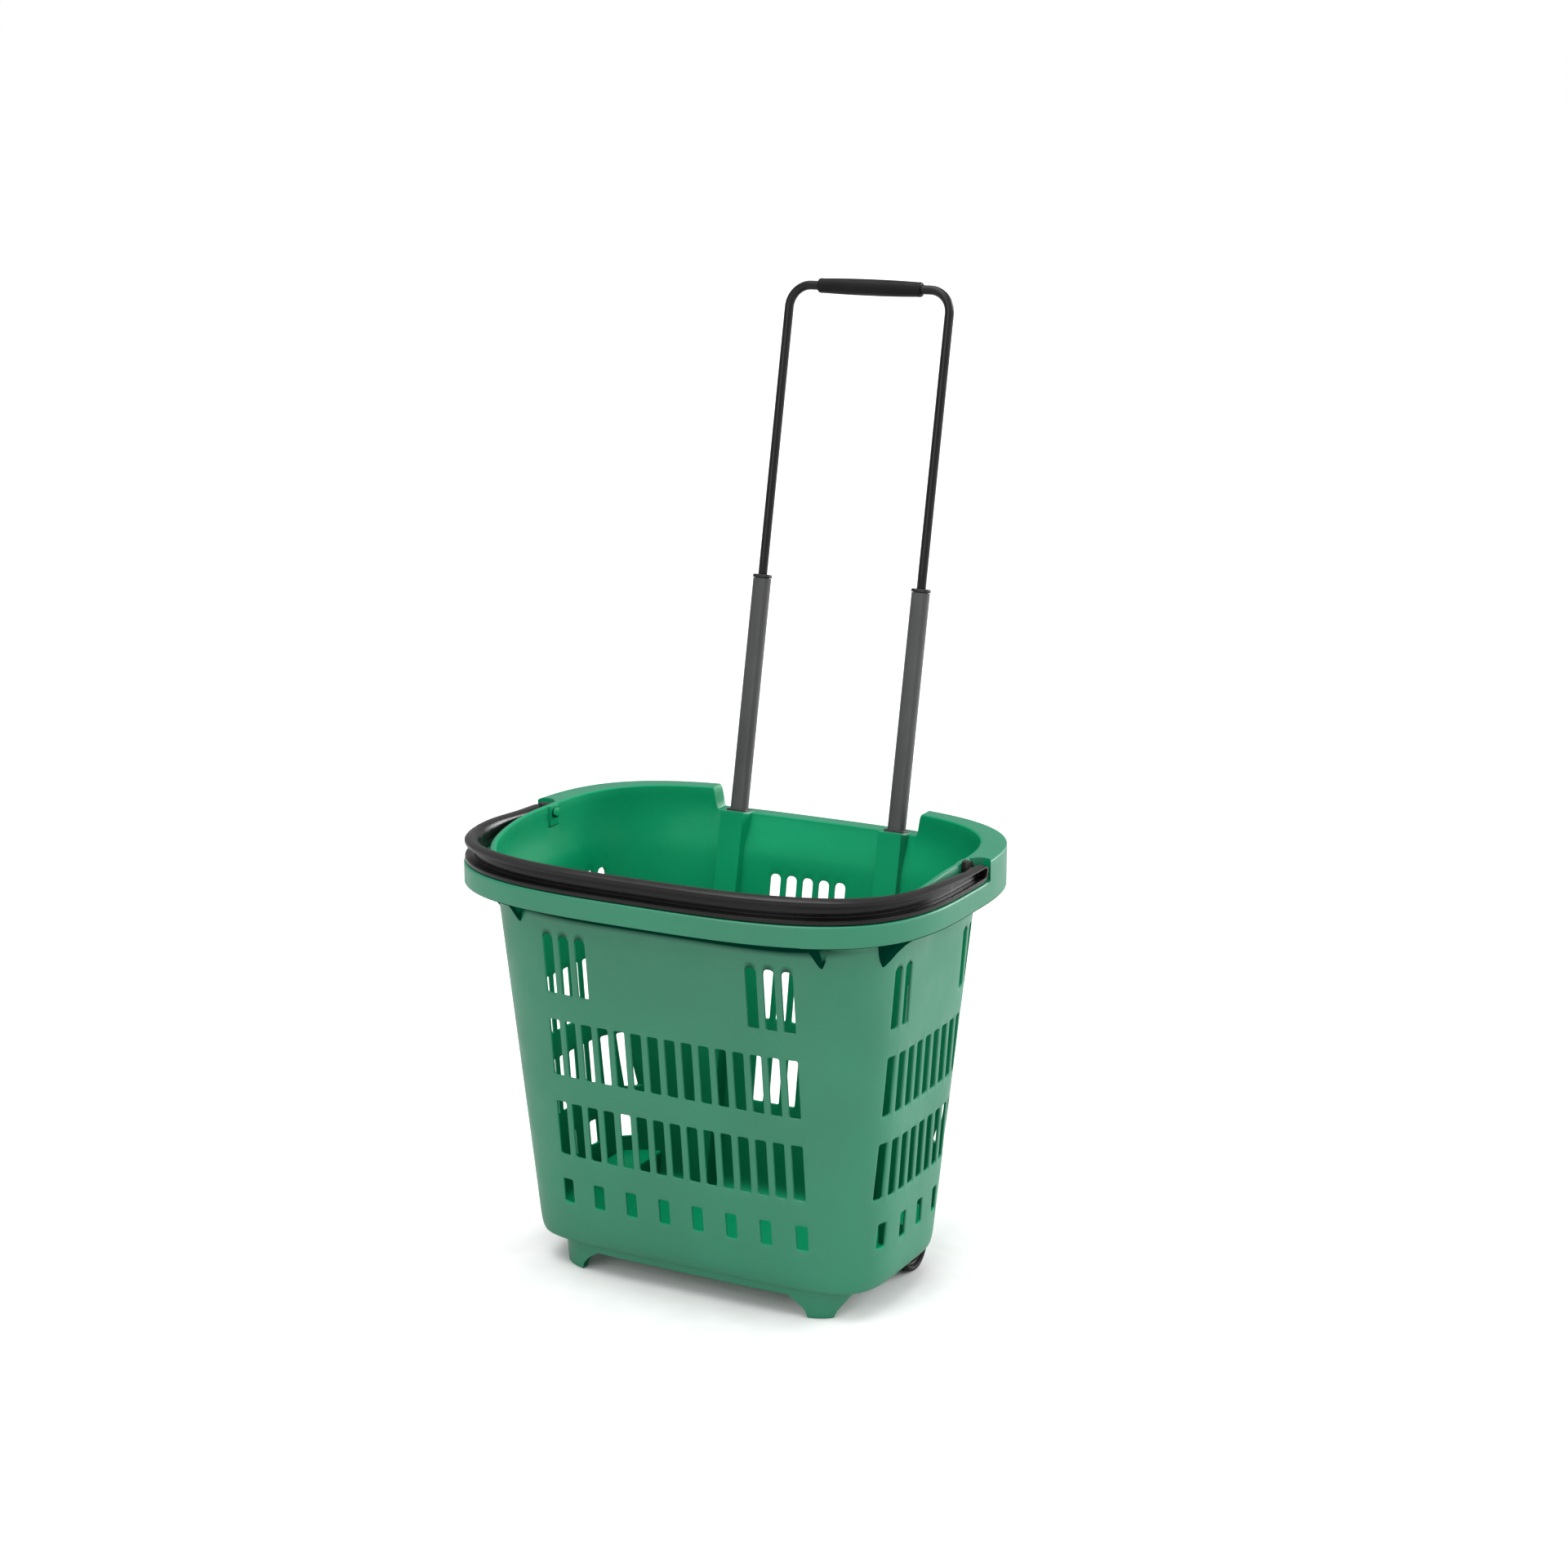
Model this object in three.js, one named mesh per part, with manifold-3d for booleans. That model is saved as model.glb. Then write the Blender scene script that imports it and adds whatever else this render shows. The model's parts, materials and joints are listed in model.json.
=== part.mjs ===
// Rolling shopping basket: slotted moulded basket, folding bail carry handle, two-stage
// telescopic tow handle at the back, two rear wheels and two front feet.
// Millimetres, +Z up, +Y towards the back (tow handle side), X left to right; the feet stand
// on z = 0.
import * as THREE from 'three';
import { mergeVertices } from 'three/addons/utils/BufferGeometryUtils.js';
import Module from 'manifold-3d';

// ---------------------------------------------------------------- driving dimensions
// Plan outlines are superellipses: half length along X, half depth along Y and a squareness.
const Y_SHIFT = -46.93;          // puts the origin under the middle of the whole object
const SIDES = [-1, 1];           // left, right
const FAR = 300;                 // beyond the basket in every horizontal direction
const HIGH = 500;                // above the basket
const SHELL_SEGMENTS = 48;

const RIM = { halfLength: 232.5, halfDepth: 176.5, squareness: 3.2 };
const SKIRT_Z = 366;             // lower edge of the rim's skirt
const NOTCH_Z = 382.6;           // floor of the back notch and top of the tube columns
const LEDGE_Z = 385.6;           // step that the bail lies on
const SHOULDER_Z = 404;          // top of the rim
const SKIRT_T = 2.8;
const WALL_T = 2.6;

const APRON_Z = 20;              // lower edge of the base band
const BASE_Z = 29;               // underside of the floor
const FLOOR_Z = 32;
const BASE = { halfLength: 149, front: 86.5, back: 84, squareness: 5.5 };

const TILT = 12.2 * Math.PI / 180;   // back lean of the tow handle
const TUBE_X = 82.9;                 // tube centre at the column top
const TUBE_Y = 157.5;
const BORE_W = 20.6;                 // bore of the tube columns
const BORE_D = 15.6;
const SCREW_Y = 9;                   // collar screw hole, in the column's tilted frame
const SCREW_S = -7;

const PIVOT_Y = 27;                  // bail pivots
const PIVOT_Z = 396.4;
const WHEEL_R = 25;
const WHEEL_X = 145;
const WHEEL_Y = 60;
const SHAFT_R = 3;                   // bail pins and wheel axle
const SHAFT_HOLE_R = 3.3;

// ---------------------------------------------------------------- solids
const wasm = await Module();
wasm.setup();

function solid(geometry) {
  geometry.deleteAttribute('normal');
  geometry.deleteAttribute('uv');
  const merged = mergeVertices(geometry, 1e-4);
  return new wasm.Manifold(new wasm.Mesh({
    numProp: 3,
    vertProperties: Float32Array.from(merged.attributes.position.array),
    triVerts: Uint32Array.from(merged.index.array),
  }));
}

function geometryOf(body) {
  const mesh = body.getMesh();
  const geometry = new THREE.BufferGeometry();
  const positions = Float32Array.from(mesh.vertProperties);
  geometry.setAttribute('position', new THREE.BufferAttribute(positions, 3));
  geometry.setIndex(new THREE.BufferAttribute(Uint32Array.from(mesh.triVerts), 1));
  geometry.computeVertexNormals();
  return geometry;
}

const box = (x0, x1, y0, y1, z0, z1) => solid(new THREE.BoxGeometry(x1 - x0, y1 - y0, z1 - z0)
  .translate((x0 + x1) / 2, (y0 + y1) / 2, (z0 + z1) / 2));
// Box centred on the Z axis.
const block = (width, depth, z0, z1) => box(-width / 2, width / 2, -depth / 2, depth / 2, z0, z1);

const cylinder = (radius, length, segments) =>
  new THREE.CylinderGeometry(radius, radius, length, segments);
const cylX = (radius, x0, x1, y, z, segments = 24) =>
  solid(cylinder(radius, x1 - x0, segments).rotateZ(Math.PI / 2).translate((x0 + x1) / 2, y, z));
const cylY = (radius, length, x, y, z, segments) =>
  solid(cylinder(radius, length, segments).translate(x, y, z));
const cylZ = (radius, z0, z1, segments = 12) =>
  solid(cylinder(radius, z1 - z0, segments).rotateX(Math.PI / 2).translate(0, 0, (z0 + z1) / 2));

// X range from near to far on one side, lower end first.
const span = (side, near, far) => (side > 0 ? [near, far] : [-far, -near]);
// Cylinder along the bail's pivot axis.
const pivotCyl = (side, radius, near, far, segments) =>
  cylX(radius, ...span(side, near, far), PIVOT_Y, PIVOT_Z, segments);
const pinHole = (side, near, far) => pivotCyl(side, SHAFT_HOLE_R, near, far, 12);

// Body turned about the X axis; the profile is a list of [x, radius].
const lathed = (profile, segments) => solid(new THREE.LatheGeometry(
  profile.map(([x, radius]) => new THREE.Vector2(radius, x)), segments).rotateZ(-Math.PI / 2));

// Superellipse point, with its own half depth and squareness at the front and at the back.
function superellipse(angle, halfLength, front, back, frontSquareness, backSquareness) {
  const c = Math.cos(angle);
  const s = Math.sin(angle);
  const power = 2 / (s > 0 ? backSquareness : frontSquareness);
  const halfDepth = s > 0 ? back : front;
  return [
    halfLength * Math.sign(c) * Math.abs(c) ** power,
    halfDepth * Math.sign(s) * Math.abs(s) ** power,
  ];
}

// Solid lofted through levels: outline(angle, z) gives a plan point.
function loft(levels, outline, segments = SHELL_SEGMENTS) {
  const steps = levels.length - 1;
  const geometry = new THREE.CylinderGeometry(1, 1, 1, segments, steps).rotateX(Math.PI / 2);
  const position = geometry.attributes.position;
  const point = new THREE.Vector3();
  for (let i = 0; i < position.count; i++) {
    point.fromBufferAttribute(position, i);
    const z = levels[Math.round((point.z + 0.5) * steps)];
    const onAxis = Math.hypot(point.x, point.y) < 1e-6;
    const step = Math.round(Math.atan2(point.y, point.x) / (2 * Math.PI) * segments);
    const [x, y] = onAxis ? [0, 0] : outline(step / segments * 2 * Math.PI, z);
    position.setXYZ(i, x, y, z);
  }
  return solid(geometry);
}

// ---------------------------------------------------------------- basket outlines
const WALL_REF_Z = 40;           // height at which the wall's sizes are given
const EDGE_Z = 49;               // top of the rounded bottom edge
const EDGE_RADIUS = 20;
const FLARE_Z = 345;             // the wall flares from here up to WALL_TOP_Z
const WALL_TOP_Z = 384;
const WALL_TOP_SQUARENESS = 3.3;
// Columns: value at WALL_REF_Z, gain per mm of height, change at the bottom edge, and for the
// sizes the gain in the flare.
const WALL = {
  halfLength: [178.7, 0.067, -9, 9],
  front: [96.8, 0.109, -5.5, 12],
  back: [92.1, 0.172, -6, 11],
  frontSquareness: [4.25, 0.0016, 1.6],
  backSquareness: [4.03, 0.001, 1.6],
};
const EDGE_LEVELS = [BASE_Z, 31, 36, EDGE_Z, 183];
const FLARE_LEVELS = [350, 367, WALL_TOP_Z];

// Basket wall's outside, moved inwards by the inset.
const wallOutline = (inset) => (angle, z) => {
  const rise = Math.min(z, WALL_TOP_Z) - WALL_REF_Z;
  const edge = z < EDGE_Z
    ? 1 - Math.sqrt(Math.max(0, 1 - ((EDGE_Z - z) / EDGE_RADIUS) ** 2)) : 0;
  const flare = THREE.MathUtils.smoothstep(z, FLARE_Z, WALL_TOP_Z);
  const size = ([base, perRise, atEdge, inFlare]) =>
    base + perRise * rise + atEdge * edge + inFlare * flare - inset;
  const squareness = ([base, perRise, atEdge]) =>
    (base + perRise * rise + atEdge * edge) * (1 - flare) + WALL_TOP_SQUARENESS * flare;
  return superellipse(angle, size(WALL.halfLength), size(WALL.front), size(WALL.back),
    squareness(WALL.frontSquareness), squareness(WALL.backSquareness));
};

const rimOutline = (inset) => (angle) => superellipse(angle, RIM.halfLength - inset,
  RIM.halfDepth - inset, RIM.halfDepth - inset, RIM.squareness, RIM.squareness);

// Base band, tapering downwards at the ends and the front.
const baseOutline = (inset) => (angle, z) => superellipse(angle,
  BASE.halfLength - inset - (BASE_Z - z) * 0.06, BASE.front - inset - (BASE_Z - z) * 0.03,
  BASE.back - inset, BASE.squareness, BASE.squareness);

// ---------------------------------------------------------------- basket shell: rim
const NOTCH_HALF = 109;          // back notch between the shoulders
const NOTCH_HOLLOW_HALF = 112;   // part of the hollow that stays low under the notch
const NOTCH_Y = 100;             // in front of the back wall's top

// Wall and rim as one body, with the basket's interior and the hollow under the rim cut out.
function hollowBody() {
  const wall = loft([...EDGE_LEVELS, 263, ...FLARE_LEVELS, SHOULDER_Z], wallOutline(0));
  const rim = loft([SKIRT_Z, SHOULDER_Z], rimOutline(0));
  // low at the front and under the notch, tall under the rear shoulders
  const shoulders = box(-FAR, FAR, PIVOT_Y + 20, FAR, FAR, HIGH).subtract(
    box(-NOTCH_HOLLOW_HALF, NOTCH_HOLLOW_HALF, NOTCH_Y, FAR, NOTCH_Z - SKIRT_T, HIGH));
  const hollowTo = (top) => loft([SKIRT_Z - 6, top - SKIRT_T], rimOutline(SKIRT_T));
  const hollow = hollowTo(LEDGE_Z).add(hollowTo(SHOULDER_Z).intersect(shoulders));
  const interior = loft([FLOOR_Z, 36, 41, EDGE_Z, 183, 263, ...FLARE_LEVELS, 430],
    wallOutline(WALL_T));
  return wall.add(rim).subtract(hollow.subtract(wall)).subtract(interior);
}

// Step in the rim for the bail, with a rounded end and a pocket at each pivot.
function cutBailStep(body) {
  const endRadius = 10.8;
  const endX = 213;
  const pocket = { radius: 9.5, height: 40, x: 223, behindPivot: 8 };
  const lip = loft([300, ...FLARE_LEVELS, 450], wallOutline(-2.6));
  const step = loft([LEDGE_Z, 450], rimOutline(-8)).subtract(lip);
  let zone = box(-FAR, FAR, -FAR, PIVOT_Y, LEDGE_Z, HIGH);
  for (const side of SIDES) {
    zone = zone.add(box(...span(side, endX, FAR), -FAR, PIVOT_Y + endRadius, PIVOT_Z, HIGH))
      .add(pivotCyl(side, endRadius, endX, FAR));
  }
  body = body.subtract(step.intersect(zone));
  for (const side of SIDES) {
    body = body.subtract(cylZ(pocket.radius, LEDGE_Z, LEDGE_Z + pocket.height, 20)
      .translate([side * pocket.x, PIVOT_Y + pocket.behindPivot, 0]));
  }
  return body;
}

// Crest of the inner lip, [y, z], rising from the front up to the shoulders.
const LIP_CREST = [
  [-FAR, 392.5], [-104, 392.5], [-85, 394], [-70, 395.7], [-50, 398.4], [-20, 402.3],
  [10, SHOULDER_Z + 0.1],
];

function cutLipCrest(body) {
  const above = new THREE.Shape(
    [...LIP_CREST, [10, HIGH], [-FAR, HIGH]].map(([y, z]) => new THREE.Vector2(y, z)));
  const prismX = new THREE.ExtrudeGeometry(above, { depth: 2 * FAR, bevelEnabled: false })
    .rotateX(Math.PI / 2).rotateZ(Math.PI / 2).translate(-FAR, 0, 0);
  const lip = loft([300, ...FLARE_LEVELS, 520], wallOutline(-2.7));
  return body.subtract(solid(prismX).intersect(lip));
}

// Bosses in the lip and their bores, for the bail's pins.
function addPivotBosses(body) {
  const halfDepth = 7.5;
  for (const side of SIDES) {
    body = body.add(box(...span(side, 205.5, 213.4), PIVOT_Y - halfDepth, PIVOT_Y + halfDepth,
      LEDGE_Z - 3, SHOULDER_Z));
    body = body.subtract(pinHole(side, 190, 221.4));
  }
  return body;
}

// ---------------------------------------------------------------- basket shell: tube columns
const COLUMN = { width: 25.2, front: 14, back: 10, length: 380 };   // about the tube's centre
const BORE_LENGTH = 250;
const SEAT = { width: 26.8, front: 17, back: 13, height: 30 };      // square seat of the collar

// Moves a body from the tow handle's frame to a column top.
const atColumn = (body, side) =>
  body.rotate([-TILT * 180 / Math.PI, 0, 0]).translate([side * TUBE_X, TUBE_Y, NOTCH_Z]);

function addColumns(body) {
  const aboveBase = box(-FAR, FAR, -FAR, FAR, BASE_Z + 0.5, HIGH);
  const { width, front, back, length } = COLUMN;
  for (const side of SIDES) {
    const column = box(-width / 2, width / 2, -front, back, -length, 0);
    body = body.add(atColumn(column, side).intersect(aboveBase));
  }
  return body;
}

function cutColumnBores(body) {
  const { width, front, back, height } = SEAT;
  for (const side of SIDES) {
    const cuts = [
      block(BORE_W, BORE_D, -BORE_LENGTH, 10),
      box(-width / 2, width / 2, -front, back, 0, height),
      cylY(1.9, 8, 0, SCREW_Y, SCREW_S, 8),   // screw hole through the column's back
    ];
    for (const cut of cuts) body = body.subtract(atColumn(cut, side));
  }
  return body;
}

// ---------------------------------------------------------------- basket shell: base
// Everything on the +X side of a foot's concave flank; footX is its place at the ground and
// bandX its place at the base band.
function flank(footX, bandX) {
  const endX = 220;
  const shape = new THREE.Shape();
  shape.moveTo(footX, -1);
  shape.lineTo(footX - 1, 5);
  shape.quadraticCurveTo(footX - 4.5, 14.5, bandX, APRON_Z);
  shape.lineTo(bandX, BASE_Z + 1);
  shape.lineTo(endX, BASE_Z + 1);
  shape.lineTo(endX, -1);
  return new THREE.ExtrudeGeometry(shape, { depth: 400, bevelEnabled: false, curveSegments: 5 })
    .translate(0, 0, -200).rotateX(Math.PI / 2);
}

// Band under the floor, and the front feet as its corner posts.
function addBase(body) {
  const band = loft([APRON_Z, BASE_Z + 1], baseOutline(0))
    .subtract(loft([APRON_Z - 5, BASE_Z], baseOutline(3)));
  const foot = loft([0, BASE_Z + 0.5], baseOutline(0))
    .intersect(solid(flank(116, 98)))
    .intersect(solid(flank(70, 50).rotateZ(-Math.PI / 2)));
  return body.add(band).add(foot).add(foot.mirror([1, 0, 0]));
}

// Wheel wells in the rear corners, with axle brackets on their inner side.
function addWheelWells(body) {
  const well = { inner: 132, outer: 158, front: WHEEL_Y - 27, top: 54 };
  const bracketHalf = 11;
  const inside = loft(EDGE_LEVELS, wallOutline(0.4));
  for (const side of SIDES) {
    const housing = box(...span(side, well.inner - WALL_T, 165.5), well.front - WALL_T, FAR,
      BASE_Z, well.top + WALL_T);
    const bracket = box(...span(side, 125.5, 132.6), WHEEL_Y - bracketHalf,
      WHEEL_Y + bracketHalf, 17, BASE_Z + 1);
    body = body.add(housing.intersect(inside))
      .subtract(box(...span(side, well.inner, well.outer), well.front, FAR, -5, well.top))
      // recess for the axle cap
      .subtract(cylX(8, ...span(side, 150, 162.5), WHEEL_Y, WHEEL_R, 16))
      .add(bracket)
      .subtract(cylX(SHAFT_HOLE_R, ...span(side, 112, 140), WHEEL_Y, WHEEL_R, 12));
  }
  return body;
}

// ---------------------------------------------------------------- basket shell: slots
const SLOT_W = 10.5;
const PITCH = 17;                // front and back slots
const SIDE_PITCH = 16.6;
// Slot rows, [bottom, top].
const TOP_ROW = [275.9, 331.6];
const UPPER_ROW = [196.2, 250.3];
const LOWER_ROW = [117.9, 170.3];
const BOTTOM_ROW = [70.1, 93.2];

function slots() {
  const cuts = [];
  const cutY = (i, y0, y1, row) =>
    cuts.push(box(i * PITCH - SLOT_W / 2, i * PITCH + SLOT_W / 2, y0, y1, ...row));
  const cutFront = (i, row) => cutY(i, -FAR, -60, row);
  const cutBack = (i, row) => cutY(i, 60, FAR, row);
  const cutEnds = (i, row) => {
    const y = i * SIDE_PITCH;
    for (const side of SIDES) {
      cuts.push(box(...span(side, 120, FAR), y - SLOT_W / 2, y + SLOT_W / 2, ...row));
    }
  };

  for (let i = -7; i <= 7; i++) {
    if (Math.abs(i) >= 5) cutFront(i, TOP_ROW);
    cutFront(i, UPPER_ROW);
    cutFront(i, LOWER_ROW);
    if (i % 2) cutFront(i, BOTTOM_ROW);
  }
  for (let i = -2; i <= 2; i++) {
    for (const row of [TOP_ROW, UPPER_ROW, LOWER_ROW]) cutBack(i, row);
  }
  for (const i of [-7, 7]) cutBack(i, UPPER_ROW);
  for (let i = -4; i <= 5; i++) {
    if (i < -2 || i > 3) cutEnds(i, TOP_ROW);
    cutEnds(i, UPPER_ROW);
    cutEnds(i, LOWER_ROW);
    if (i % 2 === 0) cutEnds(i + 0.5, BOTTOM_ROW);
  }
  return wasm.Manifold.union(cuts);
}

function basketShell() {
  let body = cutLipCrest(cutBailStep(hollowBody()));
  body = body.subtract(box(-NOTCH_HALF, NOTCH_HALF, NOTCH_Y, FAR, NOTCH_Z, HIGH));
  body = cutColumnBores(addColumns(body));
  body = addWheelWells(addBase(addPivotBosses(body)));
  // slivers cut free at sharp crossings are dropped
  const parts = body.subtract(slots()).decompose();
  return parts.sort((p, q) => q.volume() - p.volume())[0];
}

// ---------------------------------------------------------------- bail carry handle
const BAIL = { height: 20, inner: 13, outer: 1 };   // insets from the rim outline
const CHANNEL = { outer: -5, floor: 8.6, bottomWall: 3.6, topWall: 4.4 };

// Half ring along the rim, in front of the pivots.
const bailRing = (outer, inner, z0, z1) => loft([z0, z1], rimOutline(outer), 64)
  .subtract(loft([z0 - 1, z1 + 1], rimOutline(inner), 64))
  .intersect(box(-FAR, FAR, -FAR, PIVOT_Y, FAR, HIGH));

function bail() {
  const z0 = PIVOT_Z - BAIL.height / 2;
  const z1 = PIVOT_Z + BAIL.height / 2;
  const half = RIM.halfLength;
  let body = bailRing(BAIL.outer, BAIL.inner, z0, z1);
  for (const side of SIDES) {
    body = body.add(pivotCyl(side, BAIL.height / 2, half - 13.6, half - 1.6, 28));
  }
  // outward channel, ending in a round recess at each pivot
  body = body.subtract(bailRing(CHANNEL.outer, CHANNEL.floor,
    z0 + CHANNEL.bottomWall, z1 - CHANNEL.topWall));
  for (const side of SIDES) {
    const recess = span(side, half - CHANNEL.floor, 240);
    body = body.subtract(cylX(6, ...recess, PIVOT_Y, PIVOT_Z - 0.4))
      .subtract(pinHole(side, 205, 226));
  }
  return body;
}

const handlePin = (side) =>
  pivotCyl(side, SHAFT_R, 205, 225.5, 12).add(pivotCyl(side, 4.6, 203, 205.2, 12));

// Clip on the pin between the boss and the bail end: an open ring with a raised nose.
function handleClip(side) {
  const inner = 213.8;
  const outer = 217.4;
  const gapHalf = 2.3;
  return pivotCyl(side, 8.2, inner, outer, 16)
    .add(box(...span(side, inner, outer), PIVOT_Y - 9.5, PIVOT_Y - 2.5, PIVOT_Z, PIVOT_Z + 10))
    .subtract(pinHole(side, inner - 5, outer + 5))
    .subtract(box(...span(side, inner - 1, outer + 1), PIVOT_Y - gapHalf, PIVOT_Y + gapHalf,
      PIVOT_Z - 20, PIVOT_Z));
}

// ---------------------------------------------------------------- tow handle
// In the tow handle's frame Z runs up the tilted axis from the column top.
const TUBE = { width: 17, depth: 12, wall: 1.3, bottom: -34, top: 222 };
const PLUG_W = 13.8;             // plugs inside the tube
const PLUG_D = 8.8;
const SLIDER_RIVET_S = -27;
const PLUG_RIVET_S = 196;
const ROD_R = 4.3;
const ROD_START = 208;           // lower end of the rod's full section
const GRIP_S = 498.7;            // axis of the rod's cross part

// Rectangle with rounded corners, extruded along Z.
function prism(width, depth, z0, z1) {
  const radius = depth * 0.42;
  const x = width / 2 - radius;
  const y = depth / 2 - radius;
  const shape = new THREE.Shape();
  const corners = [[x, -y], [x, y], [-x, y], [-x, -y]];
  shape.moveTo(-x, -depth / 2);
  corners.forEach(([cx, cy], i) =>
    shape.absarc(cx, cy, radius, (i - 1) * Math.PI / 2, i * Math.PI / 2, false));
  return solid(new THREE.ExtrudeGeometry(shape,
    { depth: z1 - z0, bevelEnabled: false, curveSegments: 2 }).translate(0, 0, z0));
}

const sliderRivetHole = () => cylY(1.8, 30, 0, 0, SLIDER_RIVET_S, 6);
const plugRivetHole = (x = 0) => cylY(1.1, 30, x, 0, PLUG_RIVET_S, 6);
const tubeClearance = (z0, z1) => prism(TUBE.width + 0.6, TUBE.depth + 0.6, z0, z1);

const midTube = () => prism(TUBE.width, TUBE.depth, TUBE.bottom, TUBE.top)
  .subtract(prism(TUBE.width - 2 * TUBE.wall, TUBE.depth - 2 * TUBE.wall,
    TUBE.bottom - 1, TUBE.top + 1))
  .subtract(sliderRivetHole());

const tubeCap = () => prism(TUBE.width + 1, TUBE.depth + 1, TUBE.top + 0.3, TUBE.top + 3.5)
  .add(prism(PLUG_W, PLUG_D, 208, TUBE.top + 1))
  .subtract(cylZ(ROD_R + 0.3, 200, 230));

const tubeSlider = () => block(BORE_W - 0.7, BORE_D - 0.7, -36, -14.6)
  .subtract(tubeClearance(TUBE.bottom - 0.3, 0))
  .subtract(prism(13.6, 8.6, -40, 0))
  .subtract(sliderRivetHole());
const sliderRivet = () => cylY(1.5, 14.6, 0, 0, SLIDER_RIVET_S, 6);

const rodPlug = () => prism(PLUG_W, PLUG_D, 187.4, 207.4)
  .subtract(cylZ(ROD_R - 1.2, 188.6, 230))
  .subtract(plugRivetHole());
const plugRivet = () => cylY(0.8, 8.2, 0, 0, PLUG_RIVET_S, 6);

const collar = () => block(BORE_W - 0.6, BORE_D - 0.6, -14, 2.5)
  .subtract(tubeClearance(-20, 10))
  .subtract(cylY(1.7, 8, 0, SCREW_Y, SCREW_S, 8));
const collarScrew = () => cylY(1.3, 4, 0, 8.7, SCREW_S, 6)
  .add(cylY(2.9, 1.6, 0, 11.1, SCREW_S, 10));

// Rod's centre line: left leg, bend, cross part, bend, right leg. Each straight is one step.
class RodPath extends THREE.Curve {
  half = TUBE_X;
  start = ROD_START;
  top = GRIP_S;
  radius = 21;
  bendSteps = 6;

  get steps() { return 2 * this.bendSteps + 3; }
  getPointAt(u) { return this.at(u).point; }
  getTangentAt(u) { return this.at(u).tangent; }

  at(u) {
    const { half, start, top, radius, bendSteps: n } = this;
    const step = u * this.steps;
    const leg = top - radius - start;
    const place = (x, z, dx, dz) =>
      ({ point: new THREE.Vector3(x, 0, z), tangent: new THREE.Vector3(dx, 0, dz) });
    const bend = (x, angle) => place(x + radius * Math.cos(angle),
      top - radius + radius * Math.sin(angle), Math.sin(angle), -Math.cos(angle));
    if (step < 1) return place(-half, start + leg * step, 0, 1);
    if (step <= n + 1) return bend(-half + radius, Math.PI - (step - 1) / n * Math.PI / 2);
    if (step < n + 2) {
      return place(-half + radius + 2 * (half - radius) * (step - n - 1), top, 1, 0);
    }
    if (step <= 2 * n + 2) {
      return bend(half - radius, Math.PI / 2 - (step - n - 2) / n * Math.PI / 2);
    }
    return place(half, top - radius - leg * (step - 2 * n - 2), 0, -1);
  }
}

function towRod() {
  const circle = new THREE.Shape();
  circle.absarc(0, 0, ROD_R, 0, 2 * Math.PI, false);
  const path = new RodPath();
  let body = solid(new THREE.ExtrudeGeometry(circle,
    { steps: path.steps, extrudePath: path, bevelEnabled: false, curveSegments: 7 }));
  // turned-down spigots that carry the plugs
  for (const side of SIDES) {
    body = body.add(cylZ(ROD_R - 1.5, 189, ROD_START + 1).translate([side * TUBE_X, 0, 0]))
      .subtract(plugRivetHole(side * TUBE_X));
  }
  return body;
}

// Barrel with tapered ends, around the rod's cross part.
function grip() {
  const half = 53;
  const bore = ROD_R + 0.3;
  return lathed([
    [-half, bore], [-half, 6], [-half + 0.8, 6.5], [-half + 18, 7.3], [0, 7.6],
    [half - 18, 7.3], [half - 0.8, 6.5], [half, 6], [half, bore], [-half, bore],
  ], 16).translate([0, 0, GRIP_S]);
}

// ---------------------------------------------------------------- wheels
// Profiles run along X about each piece's own centre.
const hub = () => lathed([
  [-9.5, 3.4], [-9.5, 7.5], [-3, 8], [-3, 16.5], [-7.5, 17], [-7.5, 19.4], [7.5, 19.4],
  [7.5, 17], [1, 16.5], [1, 8], [9.5, 7.5], [9.5, 3.4], [-9.5, 3.4],
], 18);
const tyre = () => lathed([
  [-7.8, 20], [-10, 21], [-9, 24], [-6, WHEEL_R], [6, WHEEL_R], [9, 24], [10, 21], [7.8, 20],
  [-7.8, 20],
], 28);
const axle = () => cylX(SHAFT_R, -158.5, 158.5, 0, 0, 12);
// Cup over the axle end.
const axleCap = () => lathed([
  [-1.4, 3.25], [-1.4, 7], [0.6, 6.6], [3.2, 4.6], [4, 0], [3.1, 0], [3.1, 3.25], [-1.4, 3.25],
], 16);
const washer = () => lathed([[-0.4, 3.3], [-0.4, 6.6], [0.4, 6.6], [0.4, 3.3], [-0.4, 3.3]], 14);

// ---------------------------------------------------------------- materials
const material = (color, { roughness, metalness = 0 }) =>
  new THREE.MeshStandardMaterial({ color, roughness, metalness });
const green = () => material(0x1f8f63, { roughness: 0.42 });
const black = () => material(0x151314, { roughness: 0.35 });
const grey = () => material(0x4a4a4b, { roughness: 0.4, metalness: 0.1 });
const steel = () => material(0xb8bbbd, { roughness: 0.3, metalness: 1 });
const rubber = () => material(0x1b1b1c, { roughness: 0.75 });
const dark = () => material(0x242425, { roughness: 0.45 });

// ---------------------------------------------------------------- assembly
const group = new THREE.Group();
const basket = new THREE.Group();
basket.position.set(0, Y_SHIFT, 0);
group.add(basket);
const tow = new THREE.Group();
tow.position.set(0, TUBE_Y, NOTCH_Z);
tow.rotation.x = -TILT;
basket.add(tow);

function put(parent, name, body, surface, x = 0, y = 0, z = 0) {
  const mesh = new THREE.Mesh(geometryOf(body), surface);
  mesh.name = name;
  mesh.position.set(x, y, z);
  parent.add(mesh);
  return mesh;
}
const putOnAxle = (name, body, surface, x) =>
  put(basket, name, body, surface, x, WHEEL_Y, WHEEL_R);

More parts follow.
